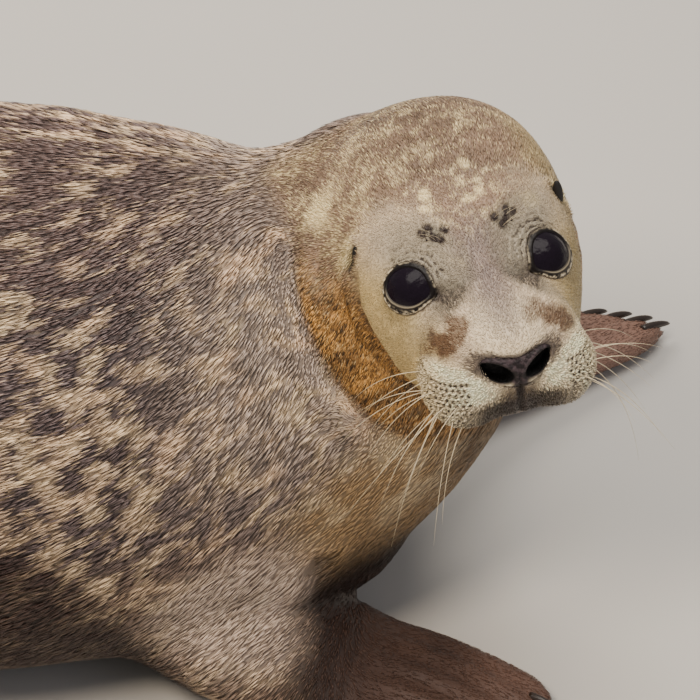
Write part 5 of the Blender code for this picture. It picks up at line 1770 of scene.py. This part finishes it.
def add_stage(colours):
    """A pale floor, four soft lamps, an even surround and the camera."""
    add_floor(colours)
    for name, where, wide, power, shade in LAMPS:
        lamp = bpy.data.lights.new(name, "AREA")
        lamp.shape = "DISK"
        lamp.size = wide
        lamp.energy = power
        lamp.color = linear(shade)
        thing = add_object(name, lamp)
        thing.location = where
        thing.visible_glossy = name in GLEAMING
        thing.rotation_euler = (Vector(LAMPS_AIM) - Vector(where)).to_track_quat("-Z", "Y").to_euler()
    world = bpy.data.worlds.new("studio")
    world.use_nodes = True
    surround = world.node_tree.nodes["Background"].inputs
    surround["Color"].default_value, surround["Strength"].default_value = SURROUND
    bpy.context.scene.world = world
    eye = bpy.data.cameras.new("camera")
    eye.lens = CAMERA_LENS
    eye.sensor_width = 36.0
    eye.clip_start = 0.05
    eye.clip_end = 50.0
    camera = add_object("camera", eye)
    camera.location = CAMERA_PLACE
    camera.rotation_euler = (math.pi / 2 - CAMERA_RISE, 0.0, 0.0)
    bpy.context.scene.camera = camera


# ---- operators
def settings():
    """The seal's sizes and colours."""
    return bpy.context.scene.seal_sizes, bpy.context.scene.seal_colours


def skin_object():
    """The skin, which the other operators need."""
    found = bpy.data.objects.get("skin")
    if found is None:
        raise RuntimeError("add the skin first")
    return found


class SEAL_OT_skin(bpy.types.Operator):
    """Add the skin, one closed surface that stands for all the parts of the flesh"""
    bl_idname = "seal.add_skin"
    bl_label = "Skin"

    def execute(self, context):
        sizes, colours = settings()
        # wet under-fur: dull, its colour darkened partly as painted shade in the gaps between the locks, so
        # that the locks over it show as streaks
        look = furred("wet_under_fur", 0.5, 0.08, 0.5, 1.1 * MM, 0.28)
        place_piece("skin", build_skin(sizes, colours), look, FLESH)
        return {"FINISHED"}


class SEAL_OT_coat(bpy.types.Operator):
    """Add the coat, locks of hair over the whole skin"""
    bl_idname = "seal.add_coat"
    bl_label = "Coat"

    def execute(self, context):
        sizes, colours = settings()
        # wet guard hair: keratin with a film of water, which gives long soft glints
        look = furred("wet_guard_hair", 0.33, 0.28, 0.15, 0.8 * MM, 0.06)
        grow_coat(skin_object(), sizes, colours, look)
        return {"FINISHED"}


class SEAL_OT_eyes(bpy.types.Operator):
    """Add the eyeballs and the edges of their lids"""
    bl_idname = "seal.add_eyes"
    bl_label = "Eyes"

    def execute(self, context):
        _, colours = settings()
        # a wet cornea over a dark iris: black to the eye, with one sharp soft-edged reflection
        wet, tree, surface = principled("wet_eye", Roughness=0.24, IOR=1.376, Specular_IOR_Level=0.26)
        clouded(tree, surface, colours.eye, 1 / (0.9 * MM), 2.0, 0.7, 1.5)
        place = node(tree, "ShaderNodeTexCoord")
        film = node(tree, "ShaderNodeTexNoise", {"Scale": 1 / (5 * MM), "Detail": 2.0},
                    {"Vector": (place, "Object")})
        lift = node(tree, "ShaderNodeBump", {"Strength": 0.7, "Distance": 1.0 * MM},
                    {"Height": (film, "Fac")})
        tree.links.new(lift.outputs["Normal"], surface.inputs["Normal"])
        # bare wet skin of the lids' edge: fine cobbles under a film of tears
        rim = leather("wet_lid_skin", {"Roughness": 0.42, "Specular IOR Level": 0.35},
                      0.7 * MM, 0.0002, "coat")
        for name, side in SIDES:
            place_piece(f"eyeball_{name}", eyeball_mesh(side), wet, (f"eye_{name}",))
            place_piece(f"lids_{name}", lid_mesh(side, colours), rim)
        return {"FINISHED"}


class SEAL_OT_nose(bpy.types.Operator):
    """Add the nose leather with its nostrils, and the ear openings"""
    bl_idname = "seal.add_nose"
    bl_label = "Nose and ears"

    def execute(self, context):
        _, colours = settings()
        # damp nose leather: cobbles under a millimetre across that glisten one by one
        look = leather("damp_nose_leather", {"Roughness": 0.58, "Specular IOR Level": 0.35},
                       1.1 * MM, 0.0012, "coat")
        place_piece("nose_leather", nose_mesh(colours), look, ("nose",))
        # painted shade of the ear's opening: near black, dull
        dark = leather("ear_opening_shade", {"Roughness": 0.6, "Base Color": (*linear("#1a1716"), 1)},
                       0.8 * MM, 0.0003)
        for name, side in SIDES:
            place_piece(f"ear_opening_{name}", ear_mesh(side), dark, (f"ear_{name}",))
        return {"FINISHED"}


class SEAL_OT_whiskers(bpy.types.Operator):
    """Add the whiskers, the stiff hairs of the brows and the dark roots of both"""
    bl_idname = "seal.add_whiskers"
    bl_label = "Whiskers"

    def execute(self, context):
        sizes, colours = settings()
        tree = skin_tree(skin_object())
        # whisker keratin: pale, a little see-through and smooth
        pale = horn("whisker_keratin", colours.whisker, 4 * MM, 0.35)
        # dark bare skin round each whisker's root
        dark = leather("whisker_root_skin", {"Roughness": 0.45, "Base Color": (*colours.mouth, 1)},
                       0.6 * MM, 0.0002)
        place_piece("whiskers", joined("whiskers", whisker_meshes(tree, sizes)), pale)
        roots = [button_mesh(place, out, 0.0006, 0.0005) for place, out, *_ in pad_roots(tree)]
        roots += [button_mesh(place, out, 0.0009, 0.0007) for place, out, _ in brow_roots(tree)]
        place_piece("whisker_roots", joined("whisker_roots", roots), dark)
        return {"FINISHED"}


class SEAL_OT_claws(bpy.types.Operator):
    """Add the claws of all four flippers"""
    bl_idname = "seal.add_claws"
    bl_label = "Claws"

    def execute(self, context):
        _, colours = settings()
        # claw horn: dark, smooth, with faint streaks a millimetre apart
        look = horn("claw_horn", colours.claw, 1.2 * MM, 0.3)
        for name, limb in LIMBS.items():
            if name == "tail":
                continue
            foot, side = name.split("_")
            claw = FORE_CLAW if foot == "fore" else HIND_CLAW
            nodes = [f"{foot}_claw_{side}_{number}" for number in range(1, DIGITS + 1)]
            mesh = joined(f"claws_{name}", claw_meshes(limb, claw))
            place_piece(f"claws_{name}", mesh, look, nodes)
        return {"FINISHED"}


class SEAL_OT_stage(bpy.types.Operator):
    """Add the floor, the lamps and the camera"""
    bl_idname = "seal.add_stage"
    bl_label = "Stage"

    def execute(self, context):
        add_stage(settings()[1])
        return {"FINISHED"}


class SEAL_PT_panel(bpy.types.Panel):
    """Lists the seal's pieces, sizes and colours"""
    bl_idname = "SEAL_PT_panel"
    bl_label = "Harbor seal"
    bl_space_type = "VIEW_3D"
    bl_region_type = "UI"
    bl_category = "Seal"

    def draw(self, context):
        for group in settings():
            box = self.layout.box()
            for name in group.bl_rna.properties.keys():
                if name not in ("rna_type", "name"):
                    box.prop(group, name)
        for operator in OPERATORS:
            self.layout.operator(operator.bl_idname)


OPERATORS = (SEAL_OT_skin, SEAL_OT_eyes, SEAL_OT_nose, SEAL_OT_whiskers, SEAL_OT_claws, SEAL_OT_coat,
             SEAL_OT_stage)
CLASSES = (SealSizes, SealColours, *OPERATORS, SEAL_PT_panel)


def register():
    """Register the classes and the settings."""
    for item in CLASSES:
        bpy.utils.register_class(item)
    bpy.types.Scene.seal_sizes = bpy.props.PointerProperty(type=SealSizes)
    bpy.types.Scene.seal_colours = bpy.props.PointerProperty(type=SealColours)


def unregister():
    """Take them away again."""
    del bpy.types.Scene.seal_colours
    del bpy.types.Scene.seal_sizes
    for item in reversed(CLASSES):
        bpy.utils.unregister_class(item)


def main():
    """Build every piece and the stage."""
    register()
    for operator in OPERATORS:
        group, name = operator.bl_idname.split(".")
        getattr(getattr(bpy.ops, group), name)()


if __name__ == "__main__":
    main()
